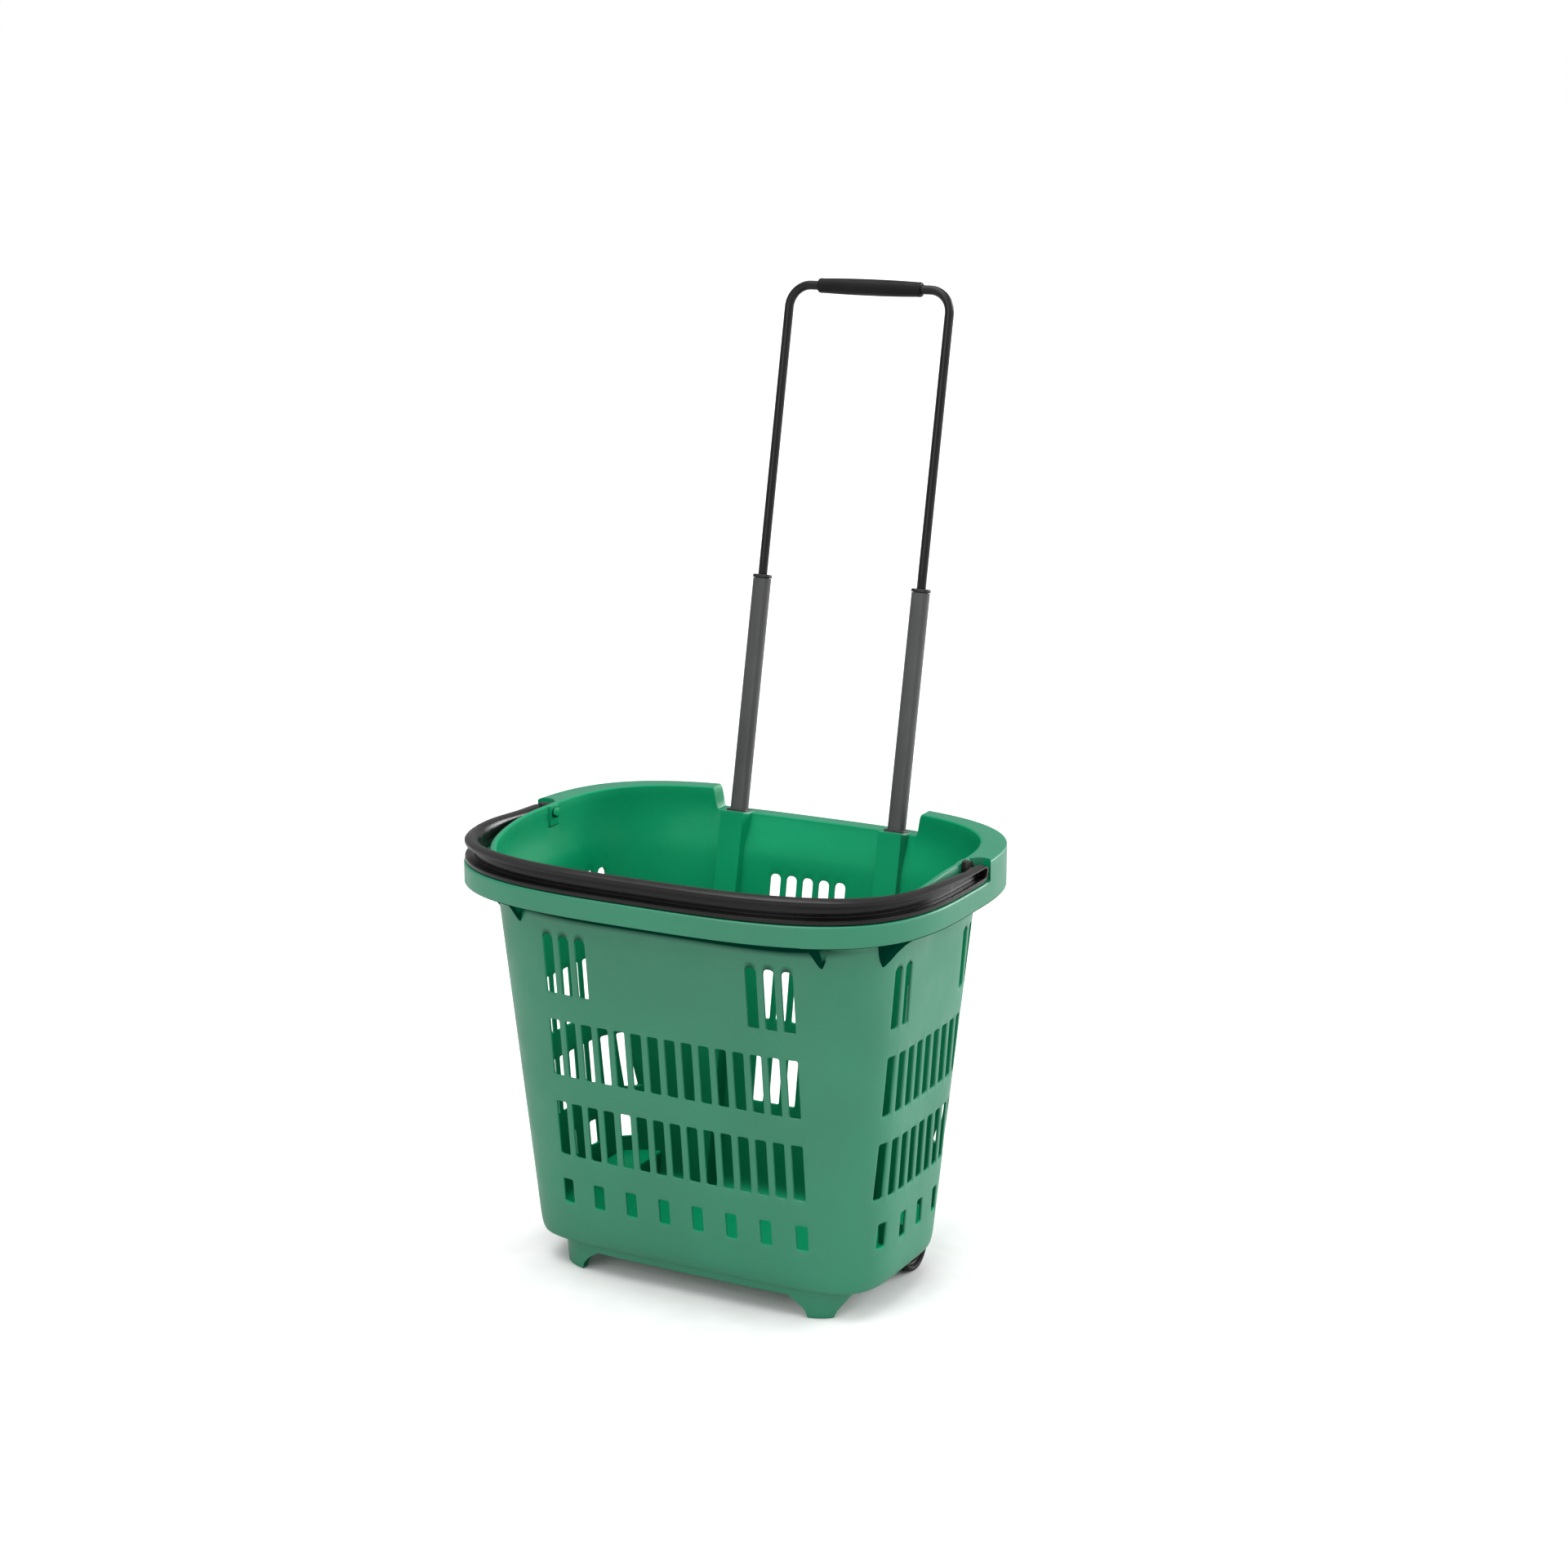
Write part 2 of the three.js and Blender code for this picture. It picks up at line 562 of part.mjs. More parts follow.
put(basket, 'basket_shell', basketShell(), green());
put(basket, 'carry_handle', bail(), black());
put(tow, 'tow_rod', towRod(), black());
put(tow, 'tow_grip', grip(), black());
putOnAxle('wheel_axle', axle(), steel(), 0);
for (const side of SIDES) {
  const label = side < 0 ? 'left' : 'right';
  const putOnTube = (name, body, surface) =>
    put(tow, `${name}_${label}`, body, surface, side * TUBE_X);
  put(basket, `handle_pin_${label}`, handlePin(side), black());
  put(basket, `handle_clip_${label}`, handleClip(side), black());
  putOnTube('mid_tube', midTube(), grey());
  putOnTube('tube_cap', tubeCap(), dark());
  putOnTube('tube_slider', tubeSlider(), dark());
  putOnTube('slider_rivet', sliderRivet(), steel());
  putOnTube('rod_plug', rodPlug(), dark());
  putOnTube('plug_rivet', plugRivet(), steel());
  putOnTube('guide_collar', collar(), dark());
  putOnTube('collar_screw', collarScrew(), steel());
  putOnAxle(`wheel_hub_${label}`, hub(), dark(), side * WHEEL_X);
  putOnAxle(`wheel_tyre_${label}`, tyre(), rubber(), side * WHEEL_X);
  const cap = putOnAxle(`axle_cap_${label}`, axleCap(), dark(), side * 157.4);
  if (side < 0) cap.rotation.z = Math.PI;
  putOnAxle(`wheel_washer_${label}`, washer(), steel(), side * 155.4);
}

export default group;
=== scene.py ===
# Rolling shopping basket with a carry handle and a telescopic tow handle, built round the packed
# frame. Basket coordinates are millimetres: +X right, -Y front, +Z up, floor at z = 0 and the rim
# centred on x = y = 0. place() turns them into the row frame in metres. The tow handle has its own
# coordinates (x, across, along), leaning back from the rear of the rim.
import json
import math
import bpy
import bmesh
import numpy as np
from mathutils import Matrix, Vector


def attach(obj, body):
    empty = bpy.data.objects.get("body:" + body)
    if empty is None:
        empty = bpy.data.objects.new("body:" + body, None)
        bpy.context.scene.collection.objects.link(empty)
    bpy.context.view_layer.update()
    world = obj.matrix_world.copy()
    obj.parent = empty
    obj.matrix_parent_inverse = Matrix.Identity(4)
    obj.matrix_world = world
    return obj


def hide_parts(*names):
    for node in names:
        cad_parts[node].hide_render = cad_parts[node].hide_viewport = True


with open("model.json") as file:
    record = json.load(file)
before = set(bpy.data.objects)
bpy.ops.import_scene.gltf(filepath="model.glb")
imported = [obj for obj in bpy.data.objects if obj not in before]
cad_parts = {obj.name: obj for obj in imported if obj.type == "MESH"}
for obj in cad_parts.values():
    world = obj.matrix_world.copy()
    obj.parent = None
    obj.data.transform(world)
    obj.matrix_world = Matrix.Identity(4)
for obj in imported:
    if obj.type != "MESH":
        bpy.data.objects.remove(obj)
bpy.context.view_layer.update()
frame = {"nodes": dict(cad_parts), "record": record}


# ------------------------------------------------------------------ dimensions (mm)
MM = 0.001
Y_SHIFT = -46.93                                   # rim centre in the row frame
RIM_HALF_X, RIM_HALF_Y, RIM_POWER = 232.5, 176.5, 3.2
SKIRT_Z, LEDGE_Z, SHOULDER_Z, NOTCH_Z = 366.0, 385.6, 404.0, 382.6
LIP_FRONT_Z = 392.5
WALL_TOP_Z = 384.0                                 # the wall's outline stays the same above this
SKIRT_T, WALL_T = 2.8, 2.6
BASE_Z, FLOOR_Z, APRON_Z = 29.0, 32.0, 20.0        # underside, inside floor, base band's lower edge
BEND_Z = 49.0                                      # top of the wall's rounded bottom edge
BEND_R = BEND_Z - BASE_Z
BASE_HALF_X, BASE_FRONT, BASE_BACK, BASE_POWER = 149.0, 86.5, 84.0, 5.5
TILT = math.radians(12.2)                          # backward lean of the tow handle
SIN, COS, TAN = math.sin(TILT), math.cos(TILT), math.tan(TILT)
BACK_LEAN = 0.172
TUBE_X, TUBE_Y = 82.9, 157.5
COLUMN_FRONT, COLUMN_BACK = 14.0, 10.0             # column faces from the tube's axis
BORE_W, BORE_D, BORE_L = 20.6, 15.6, 250.0
TUBE_W, TUBE_D, TUBE_T, TUBE_START, TUBE_END = 17.0, 12.0, 1.3, -34.0, 222.0
SCREW_S = -7                                       # along the tow handle
ROD_R, ROD_BEND_R, GRIP_S, GRIP_LEN = 4.3, 21.0, 498.7, 106.0
PIVOT_Y, PIVOT_Z = 27.0, 396.4                     # carry handle's pivot
PIN_HOLE_R, POCKET_R = 3.3, 10.8
WHEEL_R, WHEEL_X, WHEEL_Y = 25.0, 145.0, 60.0
WELL_HALF_W, WELL_REACH, WELL_TOP = 13.0, 27.0, 54.0
PITCH, SIDE_PITCH = 17.0, 16.6                     # slot spacing, front and back walls; side walls
SLOT_W, SLOT_R = 10.5, 1.8
# row, from the bottom up: slot bottom, slot top, band bottom, band top, radius of upper corners
SLOT_ROWS = {
    3: (70.1, 93.2, 61.5, 101.5, 1.8),
    2: (117.9, 170.3, 109.3, 179.0, 1.8),
    1: (196.2, 250.3, 187.6, 259.0, 1.8),
    0: (275.9, 331.6, 267.4, 341.0, 4.4),
}
BANDS_TOP = SLOT_ROWS[0][3]


def smooth(start, stop, value):
    t = np.clip((np.asarray(value, float) - start) / (stop - start), 0, 1)
    return t * t * (3 - 2 * t)


# ------------------------------------------------------------------ mesh helpers
def tow_to_basket(points):
    x, across, along = np.asarray(points, float).T
    return np.c_[x, TUBE_Y + across * COS + along * SIN, NOTCH_Z - across * SIN + along * COS]


def make(name, verts, faces):
    mesh = bpy.data.meshes.new(name)
    mesh.from_pydata([tuple(v) for v in np.asarray(verts, float)], [],
                     [tuple(int(i) for i in face) for face in faces])
    mesh.update()
    ob = bpy.data.objects.new(name, mesh)
    bpy.context.scene.collection.objects.link(ob)
    return ob


def face_outwards(ob):
    bm = bmesh.new()
    bm.from_mesh(ob.data)
    bmesh.ops.recalc_face_normals(bm, faces=bm.faces)
    bm.to_mesh(ob.data)
    bm.free()


def tube_faces(rows, n, closed=False):
    """Quads between consecutive rings of n points."""
    faces = []
    for row in range(rows if closed else rows - 1):
        a, b = row * n, (row + 1) % rows * n
        for j in range(n):
            k = (j + 1) % n
            faces.append((a + j, a + k, b + k, b + j))
    return faces


def capped(rings):
    """Closed surface through rings of equal length; each end closes on its own centre."""
    rings = [np.asarray(ring, float) for ring in rings]
    n = len(rings[0])
    faces = tube_faces(len(rings), n)
    start = n * len(rings)
    last = start - n
    for j in range(n):
        k = (j + 1) % n
        faces.append((start, k, j))
        faces.append((start + 1, last + j, last + k))
    return np.vstack(rings + [rings[0].mean(0), rings[-1].mean(0)]), faces


def ring_solid(rings):
    """Closed surface of rings whose last joins the first (a hollow body)."""
    return np.vstack(rings), tube_faces(len(rings), len(rings[0]), closed=True)


def turned(profile, segments, join=capped, centre=(0, 0, 0), flip=1):
    """Profile of (x, radius) pairs turned about a line along X; flip -1 mirrors it in x."""
    angles = np.linspace(0, 2 * np.pi, segments, endpoint=False)
    return join([np.c_[np.full(segments, flip * x), r * np.cos(angles), r * np.sin(angles)]
                 + centre for x, r in profile])


def section(width, depth, along, radius=None, steps=7):
    """Rounded rectangle loop at a place along the tow handle."""
    r = depth * 0.42 if radius is None else radius
    points = []
    for side, end, start in ((1, 1, 0), (-1, 1, 90), (-1, -1, 180), (1, -1, 270)):
        for i in range(steps + 1):
            angle = math.radians(start + 90 * i / steps)
            points.append((side * (width / 2 - r) + r * math.cos(angle),
                           end * (depth / 2 - r) + r * math.sin(angle), along))
    return np.array(points)


def box(x0, x1, y0, y1, z0, z1, radius=0):
    """Box with rounded edges, as vertices and faces."""
    bm = bmesh.new()
    corners = [bm.verts.new((x, y, z)) for z in (z0, z1)
               for x, y in ((x0, y0), (x1, y0), (x1, y1), (x0, y1))]
    for quad in [(3, 2, 1, 0), (4, 5, 6, 7), (0, 1, 5, 4), (1, 2, 6, 5), (2, 3, 7, 6), (3, 0, 4, 7)]:
        bm.faces.new([corners[i] for i in quad])
    if radius:
        bmesh.ops.bevel(bm, geom=list(bm.edges), offset=radius, segments=3, profile=0.5,
                        affect="EDGES")
    bmesh.ops.recalc_face_normals(bm, faces=bm.faces)
    bm.verts.index_update()
    verts = np.array([v.co[:] for v in bm.verts])
    faces = [tuple(v.index for v in face.verts) for face in bm.faces]
    bm.free()
    return verts, faces


def span(side, inner, outer):
    """X range on one side of the basket, in rising order."""
    return sorted((side * inner, side * outer))


def x_prism(polygon, x0, x1):
    """Polygon of (y, z) points drawn out along X."""
    n = len(polygon)
    verts = [(x, y, z) for x in (x0, x1) for y, z in polygon]
    return verts, tube_faces(2, n) + [tuple(range(n - 1, -1, -1)), tuple(range(n, 2 * n))]


def cylinder(radius, start, stop, segments=32):
    start, stop = Vector(start), Vector(stop)
    axis = (stop - start).normalized()
    u = axis.orthogonal().normalized()
    angles = np.linspace(0, 2 * np.pi, segments, endpoint=False)
    ring = np.outer(np.cos(angles), u) * radius + np.outer(np.sin(angles), axis.cross(u)) * radius
    return capped([ring + np.array(start), ring + np.array(stop)])


def x_cylinder(radius, side, inner, outer, y, z, segments=32):
    return cylinder(radius, (side * inner, y, z), (side * outer, y, z), segments)


def solid_of(parts):
    """One mesh object holding several closed bodies."""
    verts, faces, offset = [], [], 0
    for part_verts, part_faces in parts:
        verts.append(part_verts)
        faces += [tuple(i + offset for i in face) for face in part_faces]
        offset += len(part_verts)
    ob = make("piece", np.vstack(verts), faces)
    face_outwards(ob)
    return ob


def boolean(ob, other, operation):
    """Apply a boolean to ob and remove the other object."""
    modifier = ob.modifiers.new("b", "BOOLEAN")
    modifier.operation = operation
    modifier.object = other
    modifier.solver = "MANIFOLD"
    depsgraph = bpy.context.evaluated_depsgraph_get()
    mesh = bpy.data.meshes.new_from_object(ob.evaluated_get(depsgraph))
    ob.modifiers.clear()
    old = ob.data
    ob.data = mesh
    bpy.data.meshes.remove(old)
    bpy.data.objects.remove(other, do_unlink=True)
    return ob


def place(ob):
    """Basket millimetres to the row frame in metres."""
    mesh = ob.data
    points = np.zeros(len(mesh.vertices) * 3)
    mesh.vertices.foreach_get("co", points)
    points = (points.reshape(-1, 3) + [0, Y_SHIFT, 0]) * MM
    mesh.vertices.foreach_set("co", points.astype(np.float32).ravel())
    mesh.update()


# ------------------------------------------------------------------ outlines
# Outlines are superellipses: half width, front and back half depth, front and back power.
def wall_dims(z, inset=0.0, tuck=None):
    """Wall outline at a height. It drafts outwards from z = 40, tucks in round the bottom edge
    and flares into the rim over its top part."""
    z = np.minimum(np.asarray(z, float), WALL_TOP_Z)
    rise = z - 40
    if tuck is None:
        circle = np.sqrt(np.clip(1 - ((BEND_Z - z) / BEND_R) ** 2, 0, 1))
        tuck = np.where(z < BEND_Z, 1 - circle, 0)
    flare = smooth(345, WALL_TOP_Z, z)
    return (178.7 + 0.067 * rise - 9 * tuck + 9 * flare - inset,
            96.8 + 0.109 * rise - 5.5 * tuck + 12 * flare - inset,
            92.1 + BACK_LEAN * rise - 6 * tuck + 11 * flare - inset,
            (4.25 + 0.0016 * rise + 1.6 * tuck) * (1 - flare) + 3.3 * flare,
            (4.03 + 0.001 * rise + 1.6 * tuck) * (1 - flare) + 3.3 * flare)


def rim_dims(inset):
    return (RIM_HALF_X - inset, RIM_HALF_Y - inset, RIM_HALF_Y - inset, RIM_POWER, RIM_POWER)


def band_dims(inset, z=BASE_Z):
    """Base band, drafting inwards below the underside."""
    return (BASE_HALF_X - inset - (BASE_Z - z) * 0.06, BASE_FRONT - inset - (BASE_Z - z) * 0.03,
            BASE_BACK - inset, BASE_POWER, BASE_POWER)


def arc_angles(x, y, a, b, power):
    """Superellipse parameter where the outline passes x, and where it passes y."""
    return (np.arccos(np.clip(x / a, 0, 1) ** (power / 2)),
            np.arcsin(np.clip(y / b, 0, 1) ** (power / 2)))


def arc_point(t, a, b, power):
    return a * np.cos(t) ** (2 / power), b * np.sin(t) ** (2 / power)


# ------------------------------------------------------------------ upright lines of the basket
# A line is (kind, value, side, end). The value is x on the front and back walls, y on the side
# walls, and in a corner the fraction of the way from its x anchor to its y anchor.
FRONT, RIGHT, BACK, LEFT, CORNER = range(5)
CORNER_X, CORNER_Y = 7.5 * PITCH, 4.5 * SIDE_PITCH
CORNER_LINES = 20
SLOT_LEVELS = 8                                    # quads up each slot cell
CELL = np.array([-8.5, -4.45, -3.95, -3.45, 0, 3.45, 3.95, 4.45, 8.5])
SIDE_CELL = CELL.copy()
SIDE_CELL[[0, -1]] = CELL[[0, -1]] * (8.3 / 8.5)
# y of the side wall's lines round the rim pocket behind the carry handle's pivot
POCKET_LINES = np.array([24.9, 26.9, 28.8, 30.4, 31.9, 33.2, 34.4, 35.4, 36.2, 36.8, 37.25, 37.6,
                         37.78, 37.92, 38.4, 41.5])
# |x| of the back wall's lines: the outer slot, then the notch edge and the column
END_SLOT_X = 119.0
END_SLOT_LINES = [127.5, 124.25, 123.2, 121.4, 119.4, 117.6, 116.6, 115.6, 114.6, 113.6, 112.6,
                  111.6, 110.5]
COLUMN_LINES = [109.6, 108.6, 107.6, 106.6, 105.6, 104.4, 101, 98, 96.3, 95.9, 95.5, 95.2, 94.7,
                90, 86, 82.9, 80, 76, 71.2, 70.7, 70.3, 69.9, 69.5, 66, 60, 54, 48]
lines = []
cells = []                                         # (kind, centre, first line, last line, slot rows)


def add_lines(kind, values, side=1, end=1):
    for value in values:
        lines.append((kind, float(value), side, end))


def add_cell(kind, centre, columns, rows):
    cells.append((kind, centre, len(lines), len(lines) + columns, rows))


def add_corner(side, end, start):
    add_lines(CORNER, np.linspace(start, 1 - start, CORNER_LINES, endpoint=False), side, end)


def add_side(kind, columns):
    """Side columns, and the bottom row's slots centred between them."""
    first = len(lines)
    for column in columns:
        centre = (column - 4) * SIDE_PITCH
        values = POCKET_LINES if column == 6 else centre + SIDE_CELL
        values = values if kind == RIGHT else values[::-1]
        rows = [1, 2] if 1 < column < 8 else [0, 1, 2]
        add_cell(kind, centre, len(values) - 1, rows)
        add_lines(kind, values[:-1])
    placed = np.array([line[1] for line in lines[first:]])
    for column in (0, 2, 4, 6):
        centre = (column - 3.5) * SIDE_PITCH
        ends = [first + int(np.argmin(np.abs(placed - (centre + way * SIDE_PITCH / 2))))
                for way in (-1, 1)]
        cells.append((kind, centre, min(ends), max(ends), [3]))


for i in range(-7, 8):
    rows = [row for row in range(4)
            if not (row == 0 and abs(i) < 5) and not (row == 3 and i % 2 == 0)]
    add_cell(FRONT, i * PITCH, 8, rows)
    add_lines(FRONT, (i * PITCH + CELL)[:-1])
add_corner(side=1, end=-1, start=0)
add_side(RIGHT, range(9))
add_corner(side=1, end=1, start=1)
add_cell(BACK, END_SLOT_X, 12, [1])
add_lines(BACK, END_SLOT_LINES + COLUMN_LINES)
for i in (2, 1, 0, -1, -2):
    add_cell(BACK, i * PITCH, 8, [0, 1, 2])
    add_lines(BACK, (i * PITCH - CELL)[:-1])
add_lines(BACK, [-2.5 * PITCH] + [-x for x in COLUMN_LINES[::-1]])
add_cell(BACK, -END_SLOT_X, 12, [1])
add_lines(BACK, [-x for x in END_SLOT_LINES[:0:-1]])
add_corner(side=-1, end=1, start=0)
add_side(LEFT, range(8, -1, -1))
add_corner(side=-1, end=-1, start=1)

LINE_COUNT = len(lines)
KIND, VALUE, SIDE, END = np.array(lines, float).T
IS_SIDE, IS_BACK = (KIND == RIGHT) | (KIND == LEFT), KIND == BACK
REAR_CORNER = (KIND == CORNER) & (END > 0)
FROM_MIDDLE = np.abs(VALUE)


def straight(kind, value, dims):
    """Points of front, right, back or left lines on an outline."""
    a, front, back, front_power, back_power = dims
    value = np.asarray(value, float)
    if kind in (FRONT, BACK):
        b, n, sign = (front, front_power, -1) if kind == FRONT else (back, back_power, 1)
        return value, sign * b * np.clip(1 - (np.abs(value) / a) ** n, 0, 1) ** (1 / n)
    b = np.where(value > 0, back, front)
    n = np.where(value > 0, back_power, front_power)
    sign = 1 if kind == RIGHT else -1
    return sign * a * np.clip(1 - (np.abs(value) / b) ** n, 0, 1) ** (1 / n), value


def outline(dims):
    """x and y of every line on an outline."""
    dims = [np.broadcast_to(np.asarray(d, float), (LINE_COUNT,)) for d in dims]
    x, y = np.zeros(LINE_COUNT), np.zeros(LINE_COUNT)
    for kind in (FRONT, RIGHT, BACK, LEFT):
        mask = KIND == kind
        x[mask], y[mask] = straight(kind, VALUE[mask], [d[mask] for d in dims])
    mask = KIND == CORNER
    a, front, back, front_power, back_power = [d[mask] for d in dims]
    rear = END[mask] > 0
    b, power = np.where(rear, back, front), np.where(rear, back_power, front_power)
    start, stop = arc_angles(CORNER_X, CORNER_Y, a, b, power)
    corner_x, corner_y = arc_point(start + (stop - start) * VALUE[mask], a, b, power)
    x[mask], y[mask] = SIDE[mask] * corner_x, END[mask] * corner_y
    return x, y


def loop_at(dims, z):
    x, y = outline(dims)
    return np.c_[x, y, np.broadcast_to(z, (LINE_COUNT,))]


# ------------------------------------------------------------------ heights round the rim
# top of the rear rim across the notch: slanted edge with rounded corners
notch_edge = np.interp(FROM_MIDDLE, [101.0, 104.4, 105.6, 106.6, 107.6, 108.6, 109.6, 110.5],
                       [0, 0.02, 0.1, 0.36, 0.66, 0.88, 0.97, 1])
rim_top = np.full(LINE_COUNT, LEDGE_Z)
rim_top[REAR_CORNER] = SHOULDER_Z
rim_top[IS_BACK] = (NOTCH_Z + (SHOULDER_Z - NOTCH_Z) * notch_edge)[IS_BACK]
pocket = PIVOT_Z - np.sqrt(np.clip(POCKET_R ** 2 - (VALUE - PIVOT_Y) ** 2, 0, None))
rim_top = np.where(IS_SIDE & (VALUE > PIVOT_Y), np.where(VALUE < 37.85, pocket, SHOULDER_Z), rim_top)
lip_y = outline(wall_dims(WALL_TOP_Z, -2.5))[1]
lip_top = LIP_FRONT_Z + (SHOULDER_Z - LIP_FRONT_Z) * smooth(-122, 2, lip_y)
lip_top[REAR_CORNER] = SHOULDER_Z
lip_top[IS_BACK] = rim_top[IS_BACK]
rim_under = np.full(LINE_COUNT, LEDGE_Z - SKIRT_T)
rim_under[REAR_CORNER | (IS_SIDE & (VALUE > 47.5))] = SHOULDER_Z - SKIRT_T
rim_under[IS_BACK] = np.where(FROM_MIDDLE > 110.0, SHOULDER_Z - SKIRT_T, NOTCH_Z - SKIRT_T)[IS_BACK]
# 1 on the back wall's lines that belong to a tube column
column_zone = np.where(
    IS_BACK, smooth(69.5, 71.2, FROM_MIDDLE) * (1 - smooth(94.7, 96.3, FROM_MIDDLE)), 0)


def column_front(z):
    return TUBE_Y - (NOTCH_Z - z) * TAN - COLUMN_FRONT / COS


def column_back(z):
    return TUBE_Y - (NOTCH_Z - z) * TAN + COLUMN_BACK / COS


# ------------------------------------------------------------------ shell rings
# From the middle of the underside, up the outside, over the rim and down inside to the floor.
rings = []


def ring(dims, z, inner=False, outer=False):
    """Add a ring; inner and outer follow the columns' front and back faces. Returns its number."""
    points = loop_at(dims, z)
    y, height = points[:, 1], points[:, 2]
    if inner:
        points[:, 1] = y - column_zone * np.maximum(0, y - column_front(height))
    if outer:
        points[:, 1] = y + column_zone * np.maximum(0, column_back(height) - y)
    rings.append(points)
    return len(rings) - 1


def between(start, stop, fractions):
    for fraction in fractions:
        rings.append(start * (1 - fraction) + stop * fraction)


def lip_ring(inset, z):
    """A ring about the lip, rising as a wedge on top of each column."""
    ring(wall_dims(WALL_TOP_Z, inset), z, inner=True)
    points = rings[-1]
    points[:, 2] += column_zone * np.maximum(0, TUBE_Y - points[:, 1]) * TAN


def slot_levels(row):
    low, high, bottom, top, upper_r = SLOT_ROWS[row]
    return ([bottom] + [low + share * SLOT_R for share in (.5, .741, 1)] + [(low + high) / 2]
            + [high - share * upper_r for share in (1, .741, .5)] + [top])


# underside
under_edge = loop_at(band_dims(4.2), BASE_Z)
for scale in (0.04, 0.3, 0.6, 0.85, 1.0):
    rings.append(under_edge * [scale, scale, 1])
# base band: inset, height its outline is taken at, height of the ring
for inset, outline_z, z in (
        (3.2, 28.3, 28.3), (3.0, 27, 27), (3.0, APRON_Z + 1.2, APRON_Z + 1.2),
        (2.6, APRON_Z + 0.4, APRON_Z + 0.4), (1.9, APRON_Z, APRON_Z),
        (0.9, APRON_Z, APRON_Z + 0.05), (0.25, APRON_Z + 0.5, APRON_Z + 0.5),
        (0, APRON_Z + 1.3, APRON_Z + 1.3), (0, 25, 25), (-0.1, 27.8, 27.8), (-0.9, 28.8, 28.8)):
    ring(band_dims(inset, outline_z), z)
# rounded bottom edge of the wall
for degrees in (88, 78, 66, 54, 42, 30, 20, 10):
    angle = math.radians(degrees)
    z = BEND_Z - BEND_R * math.sin(angle)
    ring(wall_dims(z, 0, 1 - math.cos(angle)), z, outer=True)
ring(wall_dims(BEND_Z), BEND_Z, outer=True)
# outer wall
outer_rows = {row: [ring(wall_dims(z), z, outer=True) for z in slot_levels(row)]
              for row in SLOT_ROWS}
for fraction in (0.15, 0.3, 0.45, 0.6, 0.72, 0.83, 0.92):
    z = BANDS_TOP + fraction * (rim_under - BANDS_TOP)
    ring(wall_dims(z), z, outer=True)
# fillet under the ledge
for inset, drop in ((-0.25, 1.0), (-1.0, 0.25)):
    z = rim_under - drop
    ring(wall_dims(z, inset), z, outer=True)
ring(wall_dims(rim_under, -2.4), rim_under, outer=True)
between(rings[-1], loop_at(rim_dims(SKIRT_T + 1.6), rim_under), (0.33, 0.67, 1.0))
# inner face of the skirt
ring(rim_dims(SKIRT_T + 0.4), rim_under - 0.4)
ring(rim_dims(SKIRT_T), rim_under - 1.6)
for fraction in (0.5, 0.85):
    ring(rim_dims(SKIRT_T), rim_under - 1.6 + fraction * (SKIRT_Z + 1.4 - rim_under + 1.6))
# the skirt's lower edge: inset, height above SKIRT_Z
for inset, rise in ((SKIRT_T - 0.1, 1.0), (SKIRT_T - 0.5, 0.3), (SKIRT_T - 1.1, 0),
                    (1.1, 0), (0.5, 0.25), (0.12, 0.7), (0.0, 1.3)):
    ring(rim_dims(inset), SKIRT_Z + rise)
# outer face of the skirt and the rim's rounded outer edge
RIM_EDGE_R = 1.6
for fraction in (0.2, 0.5, 0.8, 1.0):
    ring(rim_dims(0), SKIRT_Z + 1.3 + fraction * (rim_top - RIM_EDGE_R - SKIRT_Z - 1.3))
for degrees in (22.5, 45, 67.5, 90):
    angle = math.radians(degrees)
    ring(rim_dims(RIM_EDGE_R * (1 - math.cos(angle))),
         rim_top - RIM_EDGE_R + RIM_EDGE_R * math.sin(angle))
# ledge, then the lip up, over and down
between(rings[-1], loop_at(wall_dims(WALL_TOP_Z, -4.4), rim_top), (0.35, 0.7, 0.93))
lip_rise = lip_top - rim_top
for inset, fraction in ((-3.4, 0.06), (-2.8, 0.22), (-2.65, 0.6), (-2.5, 0.88), (-2.0, 0.97)):
    lip_ring(inset, rim_top + fraction * lip_rise)
for inset, drop in ((-1.2, 0), (WALL_T - 1.8, 0), (WALL_T - 0.8, 0.35), (WALL_T - 0.2, 1.0),
                    (WALL_T, 2.0)):
    lip_ring(inset, lip_top - drop)
# inner wall
inner_top = lip_top - 2.0
for fraction in (0.12, 0.3, 0.5, 0.7, 0.85):
    z = inner_top + fraction * (BANDS_TOP - inner_top)
    ring(wall_dims(z, WALL_T), z, inner=True)
inner_rows = {}
for row in reversed(SLOT_ROWS):
    numbers = [ring(wall_dims(z, WALL_T), z, inner=True) for z in slot_levels(row)[::-1]]
    inner_rows[row] = numbers[::-1]
ring(wall_dims(BEND_Z, WALL_T), BEND_Z, inner=True)
INNER_TUCK = 0.95
for degrees in (12, 26, 40, 54, 68, 80):
    angle = math.radians(degrees)
    z = BEND_Z - (BEND_Z - FLOOR_Z) * math.sin(angle)
    ring(wall_dims(z, WALL_T, INNER_TUCK * (1 - math.cos(angle))), z, inner=True)
ring(wall_dims(FLOOR_Z, WALL_T, INNER_TUCK), FLOOR_Z, inner=True)
# the floor first runs straight forward to a line before the columns, then closes to the middle
floor_edge = rings[-1].copy()
floor_edge[:, 1] = np.minimum(floor_edge[:, 1], float(column_front(FLOOR_Z)) - 3)
for scale in (1, 0.95, 0.8, 0.6, 0.4, 0.2, 0.04):
    rings.append(floor_edge * [scale, scale, 1])


